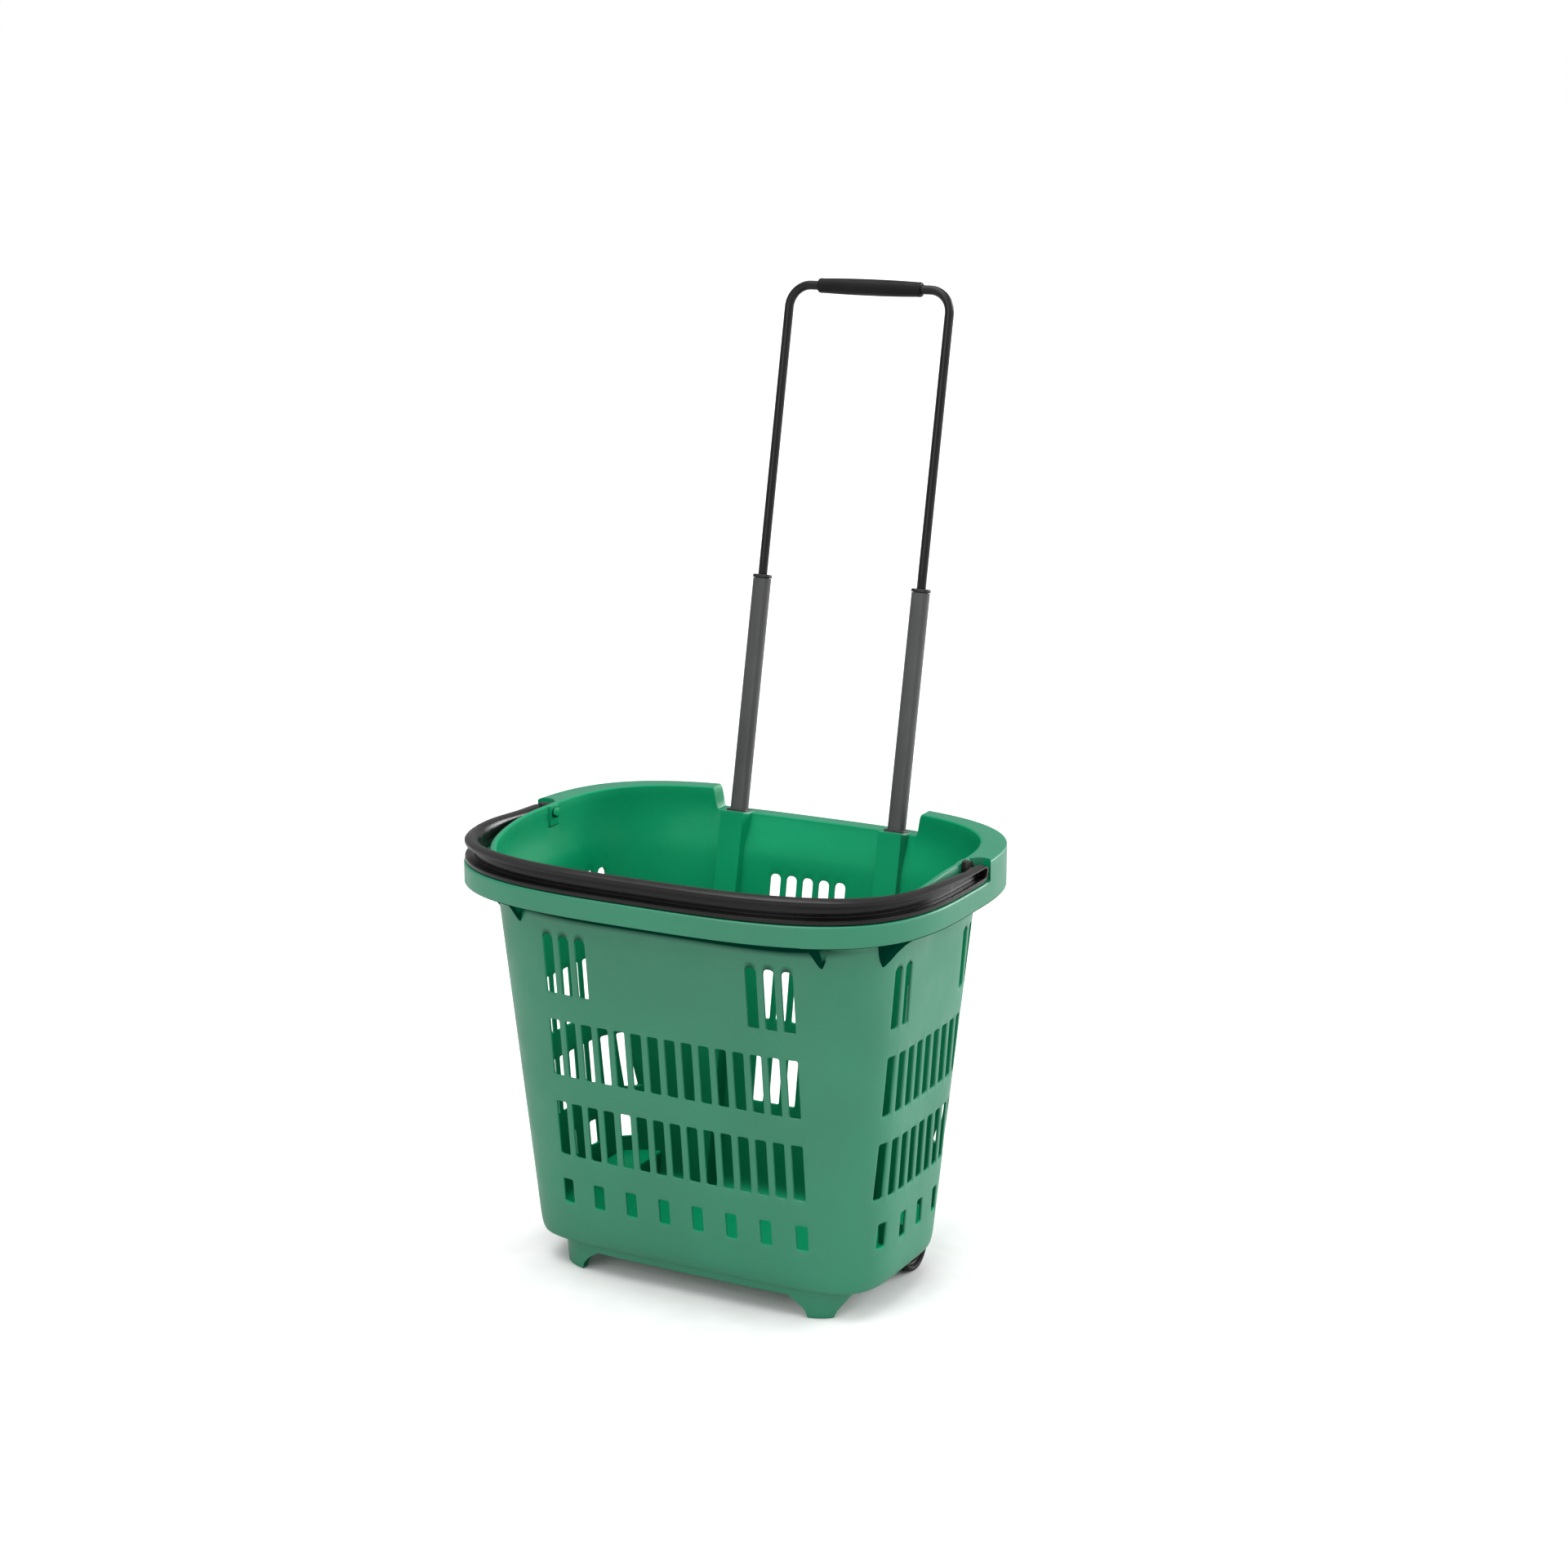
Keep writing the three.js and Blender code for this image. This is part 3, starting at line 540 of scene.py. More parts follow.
# ------------------------------------------------------------------ slots through the wall
def slot_loop(columns, row, grow):
    """Rounded slot loop (across, z) from the bottom left corner round, matched to its cell."""
    low, high, _, _, upper_r = SLOT_ROWS[row]
    half = SLOT_W / 2
    points = []

    def arc(across, z, radius, start):
        for step in range(3):
            angle = math.radians(start + 45 * step / 3)
            points.append((across + (radius + grow) * math.cos(angle),
                           z + (radius + grow) * math.sin(angle)))

    def run(start, stop, steps):
        for step in range(steps):
            points.append((start[0] + (stop[0] - start[0]) * step / steps,
                           start[1] + (stop[1] - start[1]) * step / steps))

    lower_x, lower_z = half - SLOT_R, low + SLOT_R
    upper_x, upper_z = half - upper_r, high - upper_r
    edge, bottom, top = half + grow, low - grow, high + grow
    arc(-lower_x, lower_z, SLOT_R, 225)
    run((-lower_x, bottom), (lower_x, bottom), columns - 6)
    arc(lower_x, lower_z, SLOT_R, 270)
    arc(lower_x, lower_z, SLOT_R, 315)
    run((edge, lower_z), (edge, upper_z), SLOT_LEVELS - 6)
    arc(upper_x, upper_z, upper_r, 0)
    arc(upper_x, upper_z, upper_r, 45)
    run((upper_x, top), (-upper_x, top), columns - 6)
    arc(-upper_x, upper_z, upper_r, 90)
    arc(-upper_x, upper_z, upper_r, 135)
    run((-edge, upper_z), (-edge, lower_z), SLOT_LEVELS - 6)
    arc(-lower_x, lower_z, SLOT_R, 180)
    return np.array(points)


def cell_border(numbers, first, last):
    """Vertices round a slot cell, in the slot loop's order."""
    def at(level, line):
        return numbers[level] * LINE_COUNT + line % LINE_COUNT
    return ([at(0, j) for j in range(first, last)]
            + [at(level, last) for level in range(SLOT_LEVELS)]
            + [at(SLOT_LEVELS, j) for j in range(last, first, -1)]
            + [at(level, first) for level in range(SLOT_LEVELS, 0, -1)])


# slot edge from the outer face to the inner one: growth of the opening, share of the wall
SLOT_EDGE = ((1.0, 0.0), (0.42, 0.07), (0.08, 0.26), (0.0, 0.5), (0.08, 0.74), (0.42, 0.93),
             (1.0, 1.0))


def slot_mesh(cell, row, start):
    """Vertices and faces of one slot's edge; start is the number of its first vertex."""
    kind, centre, first, last, _ = cell
    sign = 1 if kind in (FRONT, RIGHT) else -1
    loops, chain = [], [cell_border(outer_rows[row], first, last)]
    for grow, depth in SLOT_EDGE:
        across, z = slot_loop(last - first, row, grow).T
        value = centre + sign * across
        outer_x, outer_y = straight(kind, value, wall_dims(z))
        inner_x, inner_y = straight(kind, value, wall_dims(z, WALL_T))
        loops.append(np.c_[outer_x * (1 - depth) + inner_x * depth,
                           outer_y * (1 - depth) + inner_y * depth, z])
        chain.append(list(range(start, start + len(z))))
        start += len(z)
    chain.append(cell_border(inner_rows[row], first, last))
    faces = []
    for a, b in zip(chain[:-1], chain[1:]):
        for i in range(len(a)):
            k = (i + 1) % len(a)
            faces.append((a[i], a[k], b[k], b[i]))
    return loops, faces


def shell():
    """Basket shell as one grid of rings and lines with its slots."""
    verts, faces, skip = [np.vstack(rings)], [], set()
    count = len(rings) * LINE_COUNT
    for cell in cells:
        _, _, first, last, rows = cell
        for row in rows:
            for level in range(SLOT_LEVELS):
                for j in range(first, last):
                    skip.add((outer_rows[row][level], j % LINE_COUNT))
                    skip.add((inner_rows[row][level + 1], j % LINE_COUNT))
            loops, slot_faces = slot_mesh(cell, row, count)
            verts += loops
            faces += slot_faces
            count += sum(len(loop) for loop in loops)
    for r in range(len(rings) - 1):
        here, above = r * LINE_COUNT, (r + 1) * LINE_COUNT
        for j in range(LINE_COUNT):
            if (r, j) not in skip:
                k = (j + 1) % LINE_COUNT
                faces.append((here + j, here + k, above + k, above + j))
    verts.append(np.array([[0, 0, BASE_Z], [0, 0, FLOOR_Z]]))
    last_ring = (len(rings) - 1) * LINE_COUNT
    for j in range(LINE_COUNT):
        k = (j + 1) % LINE_COUNT
        faces.append((count, k, j))
        faces.append((count + 1, last_ring + j, last_ring + k))
    ob = make("piece", np.vstack(verts), faces)
    bm = bmesh.new()
    bm.from_mesh(ob.data)
    bmesh.ops.remove_doubles(bm, verts=bm.verts, dist=0.0005)
    bmesh.ops.dissolve_degenerate(bm, dist=0.0005, edges=bm.edges)
    bm.to_mesh(ob.data)
    bm.free()
    return ob


# ------------------------------------------------------------------ parts joined to the basket
def distance(kind, value, dims):
    """Distance of the front or right side of an outline from the basket's middle."""
    return abs(float(straight(kind, value, dims)[1 - kind]))


def web(kind, side, centre, half, tip):
    """Web under the rim: wide under the ledge, running down the wall to a narrow tip."""
    sign = -1 if kind == FRONT else side
    # height, half width, reach from the wall
    table = ((tip, 0.9, 0.0), (tip + 1.5, 1.6, 1.2), (tip + 6, 0.34 * half + 1.2, 3.6),
             (tip + 13, 0.62 * half + .8, 7.5), (tip + 20, 0.92 * half, 12.0),
             (tip + 26, 1.18 * half, 17.0), (384.2, 2.0 * half, 99))
    rows = []
    for z, width, reach in table:
        wall = wall_dims(z)
        points = [(v, distance(kind, v, wall) - 1.2) for v in (centre - width, centre + width)]
        for v in (centre + 0.8 * width, centre - 0.8 * width):
            points.append((v, min(distance(kind, v, rim_dims(1.6)),
                                  distance(kind, v, wall) + reach)))
        rows.append([(v, sign * d, z) if kind == FRONT else (sign * d, v, z) for v, d in points])
    return capped(rows)


def axle_bracket(side):
    polygon = []
    for degrees in np.linspace(0, 180, 15):
        angle = math.radians(180 + degrees)
        polygon.append((WHEEL_Y + 8.5 * math.cos(angle), WHEEL_R + 8.5 * math.sin(angle) * 0.94))
    polygon += [(WHEEL_Y + 12, BASE_Z + 1.5), (WHEEL_Y - 12, BASE_Z + 1.5)]
    return x_prism(polygon, *span(side, 125.5, 131.4))


def pivot_boss(side):
    return box(*span(side, 206.6, 213.4), PIVOT_Y - 7.5, PIVOT_Y + 7.5, LEDGE_Z - 2.4, 403.7,
               radius=1.2)


def flank(z, low, high):
    """Distance of a foot's inner face from the middle: nearly upright, then concave."""
    if z < 5:
        return low - z * 0.2
    t = np.clip((z - 5) / (APRON_Z - 5), 0, 1)
    return (1 - t) ** 2 * (low - 1) + 2 * t * (1 - t) * (low - 4.5) + t * t * high


def foot(side):
    """Front foot: corner post under the base band with concave flanks."""
    levels = [(0, 1.3), (0.25, 0.6), (0.8, 0.15)]
    levels += [(z, 0) for z in (1.6, 4, 6.5, 9, 11.5, 14, 16.5, 18.5, 20, 24, 29.6)]
    rows = []
    for z, inset in levels:
        x_in, y_in = flank(z, 116, 98) + inset, -(flank(z, 70, 50) + inset)
        a, b, _, power, _ = band_dims(inset, z)
        start, stop = arc_angles(x_in, -y_in, a, b, power)
        xs, ys = arc_point(np.linspace(start, stop, 26), a, -b, power)
        points = list(zip(xs, ys))
        points += [(xs[-1] - 3, y_in), ((xs[-1] + x_in) / 2, y_in), (x_in + 3, y_in),
                   (x_in, y_in - 3), (x_in, (ys[0] + y_in) / 2), (x_in, ys[0] + 3)]
        rows.append([(side * x, y, z) for x, y in points])
    return capped(rows)


def wheel_wells():
    """Well housings, kept within the basket's wall."""
    heights = (BASE_Z + 0.2, 29.8, 31, 33, 36, 40, 44, 49, 60)
    inside = solid_of([capped([loop_at(wall_dims(float(z), 0.7), float(z)) for z in heights])])
    wells = solid_of([box(*span(side, WHEEL_X - WELL_HALF_W - WALL_T, 165.5),
                          WHEEL_Y - WELL_REACH - WALL_T, 200, 20, WELL_TOP + WALL_T, radius=2.0)
                      for side in (-1, 1)])
    return boolean(wells, inside, "INTERSECT")


def in_tow_frame(solid, side):
    """Body drawn about a tube's axis, moved to the tube on one side."""
    verts, faces = solid
    verts = np.array(verts, float)
    verts[:, 0] += side * TUBE_X
    return tow_to_basket(verts), faces


def corner_slot(side, y, row):
    """Slot of the rear corner column, cut straight along X."""
    low, high, _, _, upper_r = SLOT_ROWS[row]
    half = SLOT_W / 2
    polygon = []
    for cy, cz, radius, start in (
            (y + half - SLOT_R, low + SLOT_R, SLOT_R, -90),
            (y + half - upper_r, high - upper_r, upper_r, 0),
            (y - half + upper_r, high - upper_r, upper_r, 90),
            (y - half + SLOT_R, low + SLOT_R, SLOT_R, 180)):
        for k in range(6):
            angle = math.radians(start + 18 * k)
            polygon.append((cy + radius * math.cos(angle), cz + radius * math.sin(angle)))
    return x_prism(polygon, *span(side, 120, 260))


def basket_cuts(side):
    bore = [section(BORE_W, BORE_D, along, 1.5, 3) for along in (-BORE_L, 12.0)]
    relief = (side * 223, PIVOT_Y + 8)
    return [
        # wheel well, axle cap clearance and axle hole
        box(*span(side, WHEEL_X - WELL_HALF_W, WHEEL_X + WELL_HALF_W), WHEEL_Y - WELL_REACH, 200,
            -5, WELL_TOP, radius=1.2),
        x_cylinder(8.0, side, 150, 162.5, WHEEL_Y, WHEEL_R),
        x_cylinder(3.3, side, 112, 140, WHEEL_Y, WHEEL_R),
        # round recess behind the carry handle's pivot, and the pin hole
        cylinder(9.5, (*relief, LEDGE_Z), (*relief, 430), 48),
        x_cylinder(PIN_HOLE_R, side, 192, 222, PIVOT_Y, PIVOT_Z),
        # tube bore and collar screw hole
        in_tow_frame(capped(bore), side),
        in_tow_frame(cylinder(1.9, (0, 5, SCREW_S), (0, 13, SCREW_S), 20), side),
        *[corner_slot(side, 5 * SIDE_PITCH, row) for row in range(3)],
        corner_slot(side, CORNER_Y, 3),
    ]


def basket_piece():
    ob = shell()
    joined = []
    for side in (-1, 1):
        joined += [web(FRONT, side, side * 150.0, 6.5, 338.0), web(RIGHT, side, -88.0, 9.0, 336.5),
                   pivot_boss(side), axle_bracket(side)]
    boolean(ob, solid_of(joined), "UNION")
    boolean(ob, solid_of([foot(-1), foot(1)]), "UNION")
    boolean(ob, wheel_wells(), "UNION")
    return boolean(ob, solid_of(basket_cuts(-1) + basket_cuts(1)), "DIFFERENCE")


# ------------------------------------------------------------------ carry handle
def stations():
    """(kind, value, side) round the front half of the rim, from left pivot end to right."""
    side_y = [PIVOT_Y + past for past in (9.98, 9.78, 9.27, 8.5, 7.4, 6.5, 5.95, 5.75, 5.4, 4.9,
                                          4.2, 3.3, 2.2, 1.1, 0, -2, -5, -8)]
    side_y += list(np.linspace(16, -CORNER_Y, 24))
    places = [(LEFT, y, -1) for y in side_y[:-1]]
    places += [(CORNER, f, -1) for f in np.linspace(1, 0, 25)[:-1]]
    places += [(FRONT, x, 1) for x in np.linspace(-CORNER_X, CORNER_X, 33)[:-1]]
    places += [(CORNER, f, 1) for f in np.linspace(0, 1, 25)[:-1]]
    return places + [(RIGHT, y, 1) for y in side_y[::-1]]


def station_point(kind, value, side, inset):
    dims = rim_dims(inset)
    if kind != CORNER:
        return straight(kind, value, dims)
    a, b, _, power, _ = dims
    start, stop = arc_angles(CORNER_X, CORNER_Y, a, b, power)
    x, y = arc_point(start + (stop - start) * value, a, b, power)
    return side * x, -y


def handle_section(kind, value):
    """Section as (inset from the rim, height about the pivot), with a channel in its outer face.
    It rounds off behind the pivot, where the channel also closes."""
    y = value if kind in (LEFT, RIGHT) else -99
    past = y - PIVOT_Y
    half = math.sqrt(max(0.3, 100 - past ** 2)) if past > 0 else 10.0
    # tallest across the front, getting lower along the arms towards their pivots
    stretch = 1 - 0.47 * float(smooth(-72, PIVOT_Y, y))
    if kind == FRONT:
        stretch += 0.25
    elif kind == CORNER:
        stretch += 0.25 * (1 - float(smooth(0, 1, value)))
    channel = math.sqrt(max(0, 1 - (past / 5.9) ** 2)) if past > 0 else 1.0
    deep = min(1.0, channel * 3)
    up = min(max(5.7 * channel, 1.2), half * 0.5)
    down = min(max(6.9 * channel, 1.5), half * 0.6)
    r = min(1.1, half * 0.3)
    crown = min(1.0, half / 10) * (0.35 + 0.65 * float(smooth(9.9, 4, past)))
    points = [
        # inner face and crown
        (13, -half + r), (13, -half * .4), (13, half * .2), (12.9, half - 6.4 * crown),
        (12.2, half - 4.4 * crown), (10.8, half - 2.1 * crown), (9.0, half - .7 * crown),
        (6.8, half - .05 * crown), (4.0, half - .6 * crown), (1, half - 2.2 * crown - .1 * r),
        # channel
        (1, up + .7), (1 + .2 * deep, up + .2), (1 + .75 * deep, up), (1 + 4 * deep, up),
        (1 + 6.6 * deep, up), (1 + 7.5 * deep, up * .9), (1 + 7.6 * deep, up * .75),
        (1 + 7.0 * deep, up * .35), (1 + 6.8 * deep, -down * .05), (1 + 7.0 * deep, -down * .45),
        (1 + 7.6 * deep, -down * .8), (1 + 7.4 * deep, -down * .93), (1 + 6.6 * deep, -down),
        (1 + 4 * deep, -down), (1 + .6 * deep, -down), (1 + .15 * deep, -down - .2),
        (1, -down - .6),
        # lower edge
        (1, -half + r), (1.32, -half + .32 * r), (2.1, -half), (7, -half), (11.9, -half),
        (12.68, -half + .32 * r)]
    return [(inset, h * stretch if h > 0 else h) for inset, h in points]


def carry_handle():
    rows = []
    for kind, value, side in stations():
        rows.append([(*station_point(kind, value, side, inset), PIVOT_Z + height)
                     for inset, height in handle_section(kind, value)])
    holes = [x_cylinder(PIN_HOLE_R, side, 200, 226, PIVOT_Y, PIVOT_Z, 40) for side in (-1, 1)]
    return boolean(solid_of([capped(rows)]), solid_of(holes), "DIFFERENCE")


# ------------------------------------------------------------------ tow rod and grip
def tow_rod():
    """Bent rod: up on the left, across through the grip, down on the right."""
    # along, radius: thin neck at the lower end, then the full rod
    leg = ((198.0, 2.3), (198.3, 2.8), (207.6, 2.8), (207.9, 3.0), (208.0, 3.9), (208.4, ROD_R),
           (240, ROD_R), (300, ROD_R), (380, ROD_R), (450, ROD_R))

    def bend(centre, start):
        angles = [start - k / 16 * math.pi / 2 for k in range(17)]
        return [(centre + ROD_BEND_R * math.cos(a), GRIP_S - ROD_BEND_R + ROD_BEND_R * math.sin(a),
                 a - math.pi / 2, ROD_R) for a in angles]

    # x, along, heading, radius
    path = [(-TUBE_X, along, math.pi / 2, r) for along, r in leg]
    path += bend(ROD_BEND_R - TUBE_X, math.pi)
    path.append((0.0, GRIP_S, 0.0, ROD_R))
    path += bend(TUBE_X - ROD_BEND_R, math.pi / 2)
    path += [(TUBE_X, along, -math.pi / 2, r) for along, r in leg[::-1]]
    turn = np.linspace(0, 2 * np.pi, 28, endpoint=False)
    rows = []
    for x, along, heading, r in path:
        rows.append(np.c_[x - r * np.cos(turn) * math.sin(heading), r * np.sin(turn),
                          along + r * np.cos(turn) * math.cos(heading)])
    return solid_of([in_tow_frame(capped(rows), 0)])


def tow_grip():
    """Barrel grip, slightly flattened front to back."""
    half = GRIP_LEN / 2
    edge = [(-half, ROD_R + .3), (-half, 5.9), (-half + .4, 6.5), (-half + 1.1, 6.8),
            (-half + 2.6, 6.95), (-half + 3.4, 6.9)]
    barrel = [(t * (half - 4.6), 6.85 + 0.85 * (1 - abs(t) ** 2.4)) for t in np.linspace(-1, 1, 25)]
    profile = edge + barrel + [(-x, r) for x, r in edge[::-1]]
    verts, faces = turned(profile, 56, ring_solid, centre=(0, 0, GRIP_S))
    verts[:, 1] *= 0.985
    return solid_of([in_tow_frame((verts, faces), 0)])


# ------------------------------------------------------------------ telescopic tubes, fittings
def tow_solid(solid, side):
    return solid_of([in_tow_frame(solid, side)])


def mid_tube(side):
    """Oval tube, open at both ends, with a cross hole near the bottom."""
    bore = 2 * TUBE_T
    # reduction of both widths, along: up the outside, down the inside
    table = ((.7, TUBE_START), (0, TUBE_START + .35), (0, 0), (0, 60), (0, 120), (0, 180),
             (0, TUBE_END - .35), (.5, TUBE_END - .08), (1.0, TUBE_END),
             (bore - .5, TUBE_END), (bore, TUBE_END - .3), (bore, 120), (bore, 0),
             (bore, TUBE_START + .2), (bore - .4, TUBE_START))
    loops = [section(TUBE_W - less, TUBE_D - less, along) for less, along in table]
    hole = cylinder(1.8, (0, -12, -27), (0, 12, -27), 24)
    return boolean(tow_solid(ring_solid(loops), side), tow_solid(hole, side), "DIFFERENCE")


def tube_cap(side):
    """Cap with a plug in the tube's top and a hole for the rod."""
    width, depth, seat = TUBE_W + 1, TUBE_D + 1, TUBE_END + 0.3
    x, across, _ = section(width, depth, 0).T
    turn = np.arctan2(across, x)

    def circle(radius, along):
        return np.c_[radius * np.cos(turn), radius * np.sin(turn), np.full(len(turn), along)]

    loops = [circle(ROD_R + .5, 208), section(13.2, 8.2, 208), section(13.8, 8.8, 208.6),
             section(13.8, 8.8, seat)]
    loops += [section(width - less, depth - less, seat + up) for less, up in
              ((.6, 0), (0, .3), (0, 1.9), (.25, 2.5), (.8, 2.95), (1.7, 3.2))]
    loops += [circle(ROD_R + .9, seat + 3.2), circle(ROD_R + .45, seat + 3.05),
              circle(ROD_R + .3, seat + 2.6), circle(ROD_R + .3, 209)]
    return tow_solid(ring_solid(loops), side)


def guide_collar(side):
    """Collar filling the column's bore round the tube, with a screw hole at the back."""
    width, depth = BORE_W - .6, BORE_D - .6
    # outside: reduction, along, corner radius
    loops = [section(width - less, depth - less, along, radius) for less, along, radius in
             ((.8, -14, 1.2), (0, -13.4, 1.5), (0, 1.2, 1.5), (.25, 1.9, 1.5), (.8, 2.35, 1.3),
              (1.3, 2.5, 1.1))]
    # inside: growth, along
    loops += [section(TUBE_W + .6 + more, TUBE_D + .6 + more, along) for more, along in
              ((.7, 2.5), (.2, 2.2), (0, 1.6), (0, -13.6), (.4, -14))]
    hole = cylinder(1.7, (0, 4.5, SCREW_S), (0, 14, SCREW_S), 24)
    return boolean(tow_solid(ring_solid(loops), side), tow_solid(hole, side), "DIFFERENCE")


def collar_screw(side):
    """Pan head screw with a cross recess."""
    # across, radius
    profile = ((6.7, 0.9), (7.0, 1.3), (10.3, 1.3), (10.35, 2.7), (10.6, 2.9), (11.1, 2.8),
               (11.5, 2.3), (11.8, 1.5), (11.9, 0.7))
    turn = np.linspace(0, 2 * np.pi, 32, endpoint=False)
    loops = [np.c_[r * np.cos(turn), np.full(32, across), SCREW_S + r * np.sin(turn)]
             for across, r in profile]
    ob = tow_solid(capped(loops), side)
    for half_x, half_s in ((1.9, .32), (.32, 1.9)):
        recess = box(-half_x, half_x, 11.3, 13, SCREW_S - half_s, SCREW_S + half_s)
        boolean(ob, tow_solid(recess, side), "DIFFERENCE")
    return ob


# ------------------------------------------------------------------ carry handle pins and clips
PIN_HEAD_END = 205.2


def handle_pin(side):
    profile = ((202.8, 0.6), (202.85, 2.2), (203.0, 3.4), (203.4, 4.2), (203.9, 4.55), (204.9, 4.6),
               (PIN_HEAD_END, 4.4), (PIN_HEAD_END, 3.0), (224.9, 3.0), (225.3, 2.7), (225.5, 2.2))
    return solid_of([turned(profile, 40, centre=(0, PIVOT_Y, PIVOT_Z), flip=side)])


def handle_clip(side):
    """Open ring on the pin, with a raised nose."""
    def arc(radius, start, stop, steps):
        angles = np.radians(np.linspace(start, stop, steps))
        return [(radius * math.cos(a), radius * math.sin(a)) for a in angles]

    polygon = arc(8.2, -72, 110, 30)
    polygon += [(-3.2, 9.6), (-4.0, 10.0), (-8.6, 10.0), (-9.4, 9.3), (-9.5, 1.5), (-8.1, -.5)]
    polygon += arc(8.2, 187, 252, 12) + [(-2.3, -2.6)] + arc(3.3, 226, -46, 26) + [(2.3, -2.6)]
    polygon = [(PIVOT_Y + y, PIVOT_Z + z) for y, z in polygon]
    ob = solid_of([x_prism(polygon, *span(side, 213.8, 217.4))])
    edge = ob.modifiers.new("edge", "BEVEL")
    edge.width = 0.4 * MM
    edge.segments = 2
    edge.limit_method = "ANGLE"
    edge.angle_limit = math.radians(40)
    return ob


# ------------------------------------------------------------------ wheels
# Profiles are (x from the wheel's middle, radius).
def wheel_hub(side):
    profile = ((-9.5, 3.4), (-9.5, 7.0), (-9.1, 7.5), (-3.4, 8.0), (-3, 8.5), (-3, 16),
               (-3.4, 16.5), (-7.1, 17), (-7.5, 17.4), (-7.5, 19.1), (-7.2, 19.4), (7.2, 19.4),
               (7.5, 19.1), (7.5, 17.4), (7.1, 17), (1.5, 16.5), (1, 16), (1, 8.5), (1.4, 8),
               (9.1, 7.5), (9.5, 7.0), (9.5, 3.4))
    hub = turned(profile, 72, ring_solid, centre=(side * WHEEL_X, WHEEL_Y, WHEEL_R), flip=side)
    holes = []
    for k in range(5):
        angle = 2 * math.pi * k / 5
        holes.append(x_cylinder(2.7, side, 130, 160, WHEEL_Y + 12.2 * math.cos(angle),
                                WHEEL_R + 12.2 * math.sin(angle)))
    return boolean(solid_of([hub]), solid_of(holes), "DIFFERENCE")


def wheel_tyre(side):
    half = [(-7.7, 19.9), (-8.6, 20.1), (-9.6, 20.6), (-10, 21.4), (-9.95, 22.6), (-9.5, 23.6),
            (-8.5, 24.4), (-7, 24.85), (-5, 25), (-3.5, 25), (-3.2, 24.5), (-2.6, 24.35),
            (-2.0, 24.5), (-1.7, 25)]
    profile = half + [(-x, r) for x, r in half[::-1]]
    return solid_of([turned(profile, 96, ring_solid, centre=(side * WHEEL_X, WHEEL_Y, WHEEL_R))])


def axle_cap(side):
    """Domed cap, hollow where it takes the axle's end."""
    profile = ((3.1, .4), (3.1, 3.25), (-1.4, 3.25), (-1.4, 6.7), (-1.1, 7.0), (-.6, 6.95),
               (.6, 6.6), (1.9, 5.9), (3.0, 4.7), (3.6, 3.2), (3.9, 1.6), (4.0, .4))
    return solid_of([turned(profile, 48, centre=(side * 157.4, WHEEL_Y, WHEEL_R), flip=side)])


def wheel_axle():
    profile = ((-158.5, 2.5), (-158.0, 3), (-100, 3), (0, 3), (100, 3), (158, 3), (158.5, 2.5))
    return solid_of([turned(profile, 40, centre=(0, WHEEL_Y, WHEEL_R))])


# ------------------------------------------------------------------ shader helpers
def set_inputs(tree, target, inputs):
    """Link or set a node's inputs."""
    for key, value in inputs.items():
        if isinstance(value, bpy.types.NodeSocket):
            tree.links.new(value, target.inputs[key])
        else:
            target.inputs[key].default_value = value


def node(tree, kind, inputs={}, **settings):
    made = tree.nodes.new("ShaderNode" + kind)
    for name, value in settings.items():
        setattr(made, name, value)
    set_inputs(tree, made, inputs)
    return made


def new_material(name):
    material = bpy.data.materials.new(name)
    material.use_nodes = True
    tree = material.node_tree
    tree.nodes.clear()
    output = node(tree, "OutputMaterial")
    shader = node(tree, "BsdfPrincipled")
    tree.links.new(shader.outputs[0], output.inputs[0])
    return material, tree, shader


def noise(tree, coords, scale, detail):
    return node(tree, "TexNoise",
                {"Scale": scale, "Detail": detail, "Vector": coords}).outputs["Fac"]


def remap(tree, value, to, span=(0.35, 0.65)):
    """Map the span of the value onto the range to."""
    return node(tree, "MapRange", {
        "Value": value, "From Min": span[0], "From Max": span[1],
        "To Min": to[0], "To Max": to[1]}).outputs[0]


def calc(tree, operation, *values, kind="Math", output=0):
    return node(tree, kind, dict(enumerate(values)), operation=operation).outputs[output]


def mix(tree, factor, first, second, **settings):
    first, second = [c + (1,) if isinstance(c, tuple) else c for c in (first, second)]
    return node(tree, "Mix", {0: factor, 6: first, 7: second}, data_type="RGBA",
                **settings).outputs[2]


def tint(tree, colour, by):
    return mix(tree, 1.0, colour, by, blend_type="MULTIPLY")


def facing_and_height(tree):
    """Surface normal, its z, and the height in metres."""
    geometry = node(tree, "NewGeometry")
    normal = geometry.outputs["Normal"]
    facing = node(tree, "SeparateXYZ", {0: normal}).outputs["Z"]
    height = node(tree, "SeparateXYZ", {0: geometry.outputs["Position"]}).outputs["Z"]
    return normal, facing, height


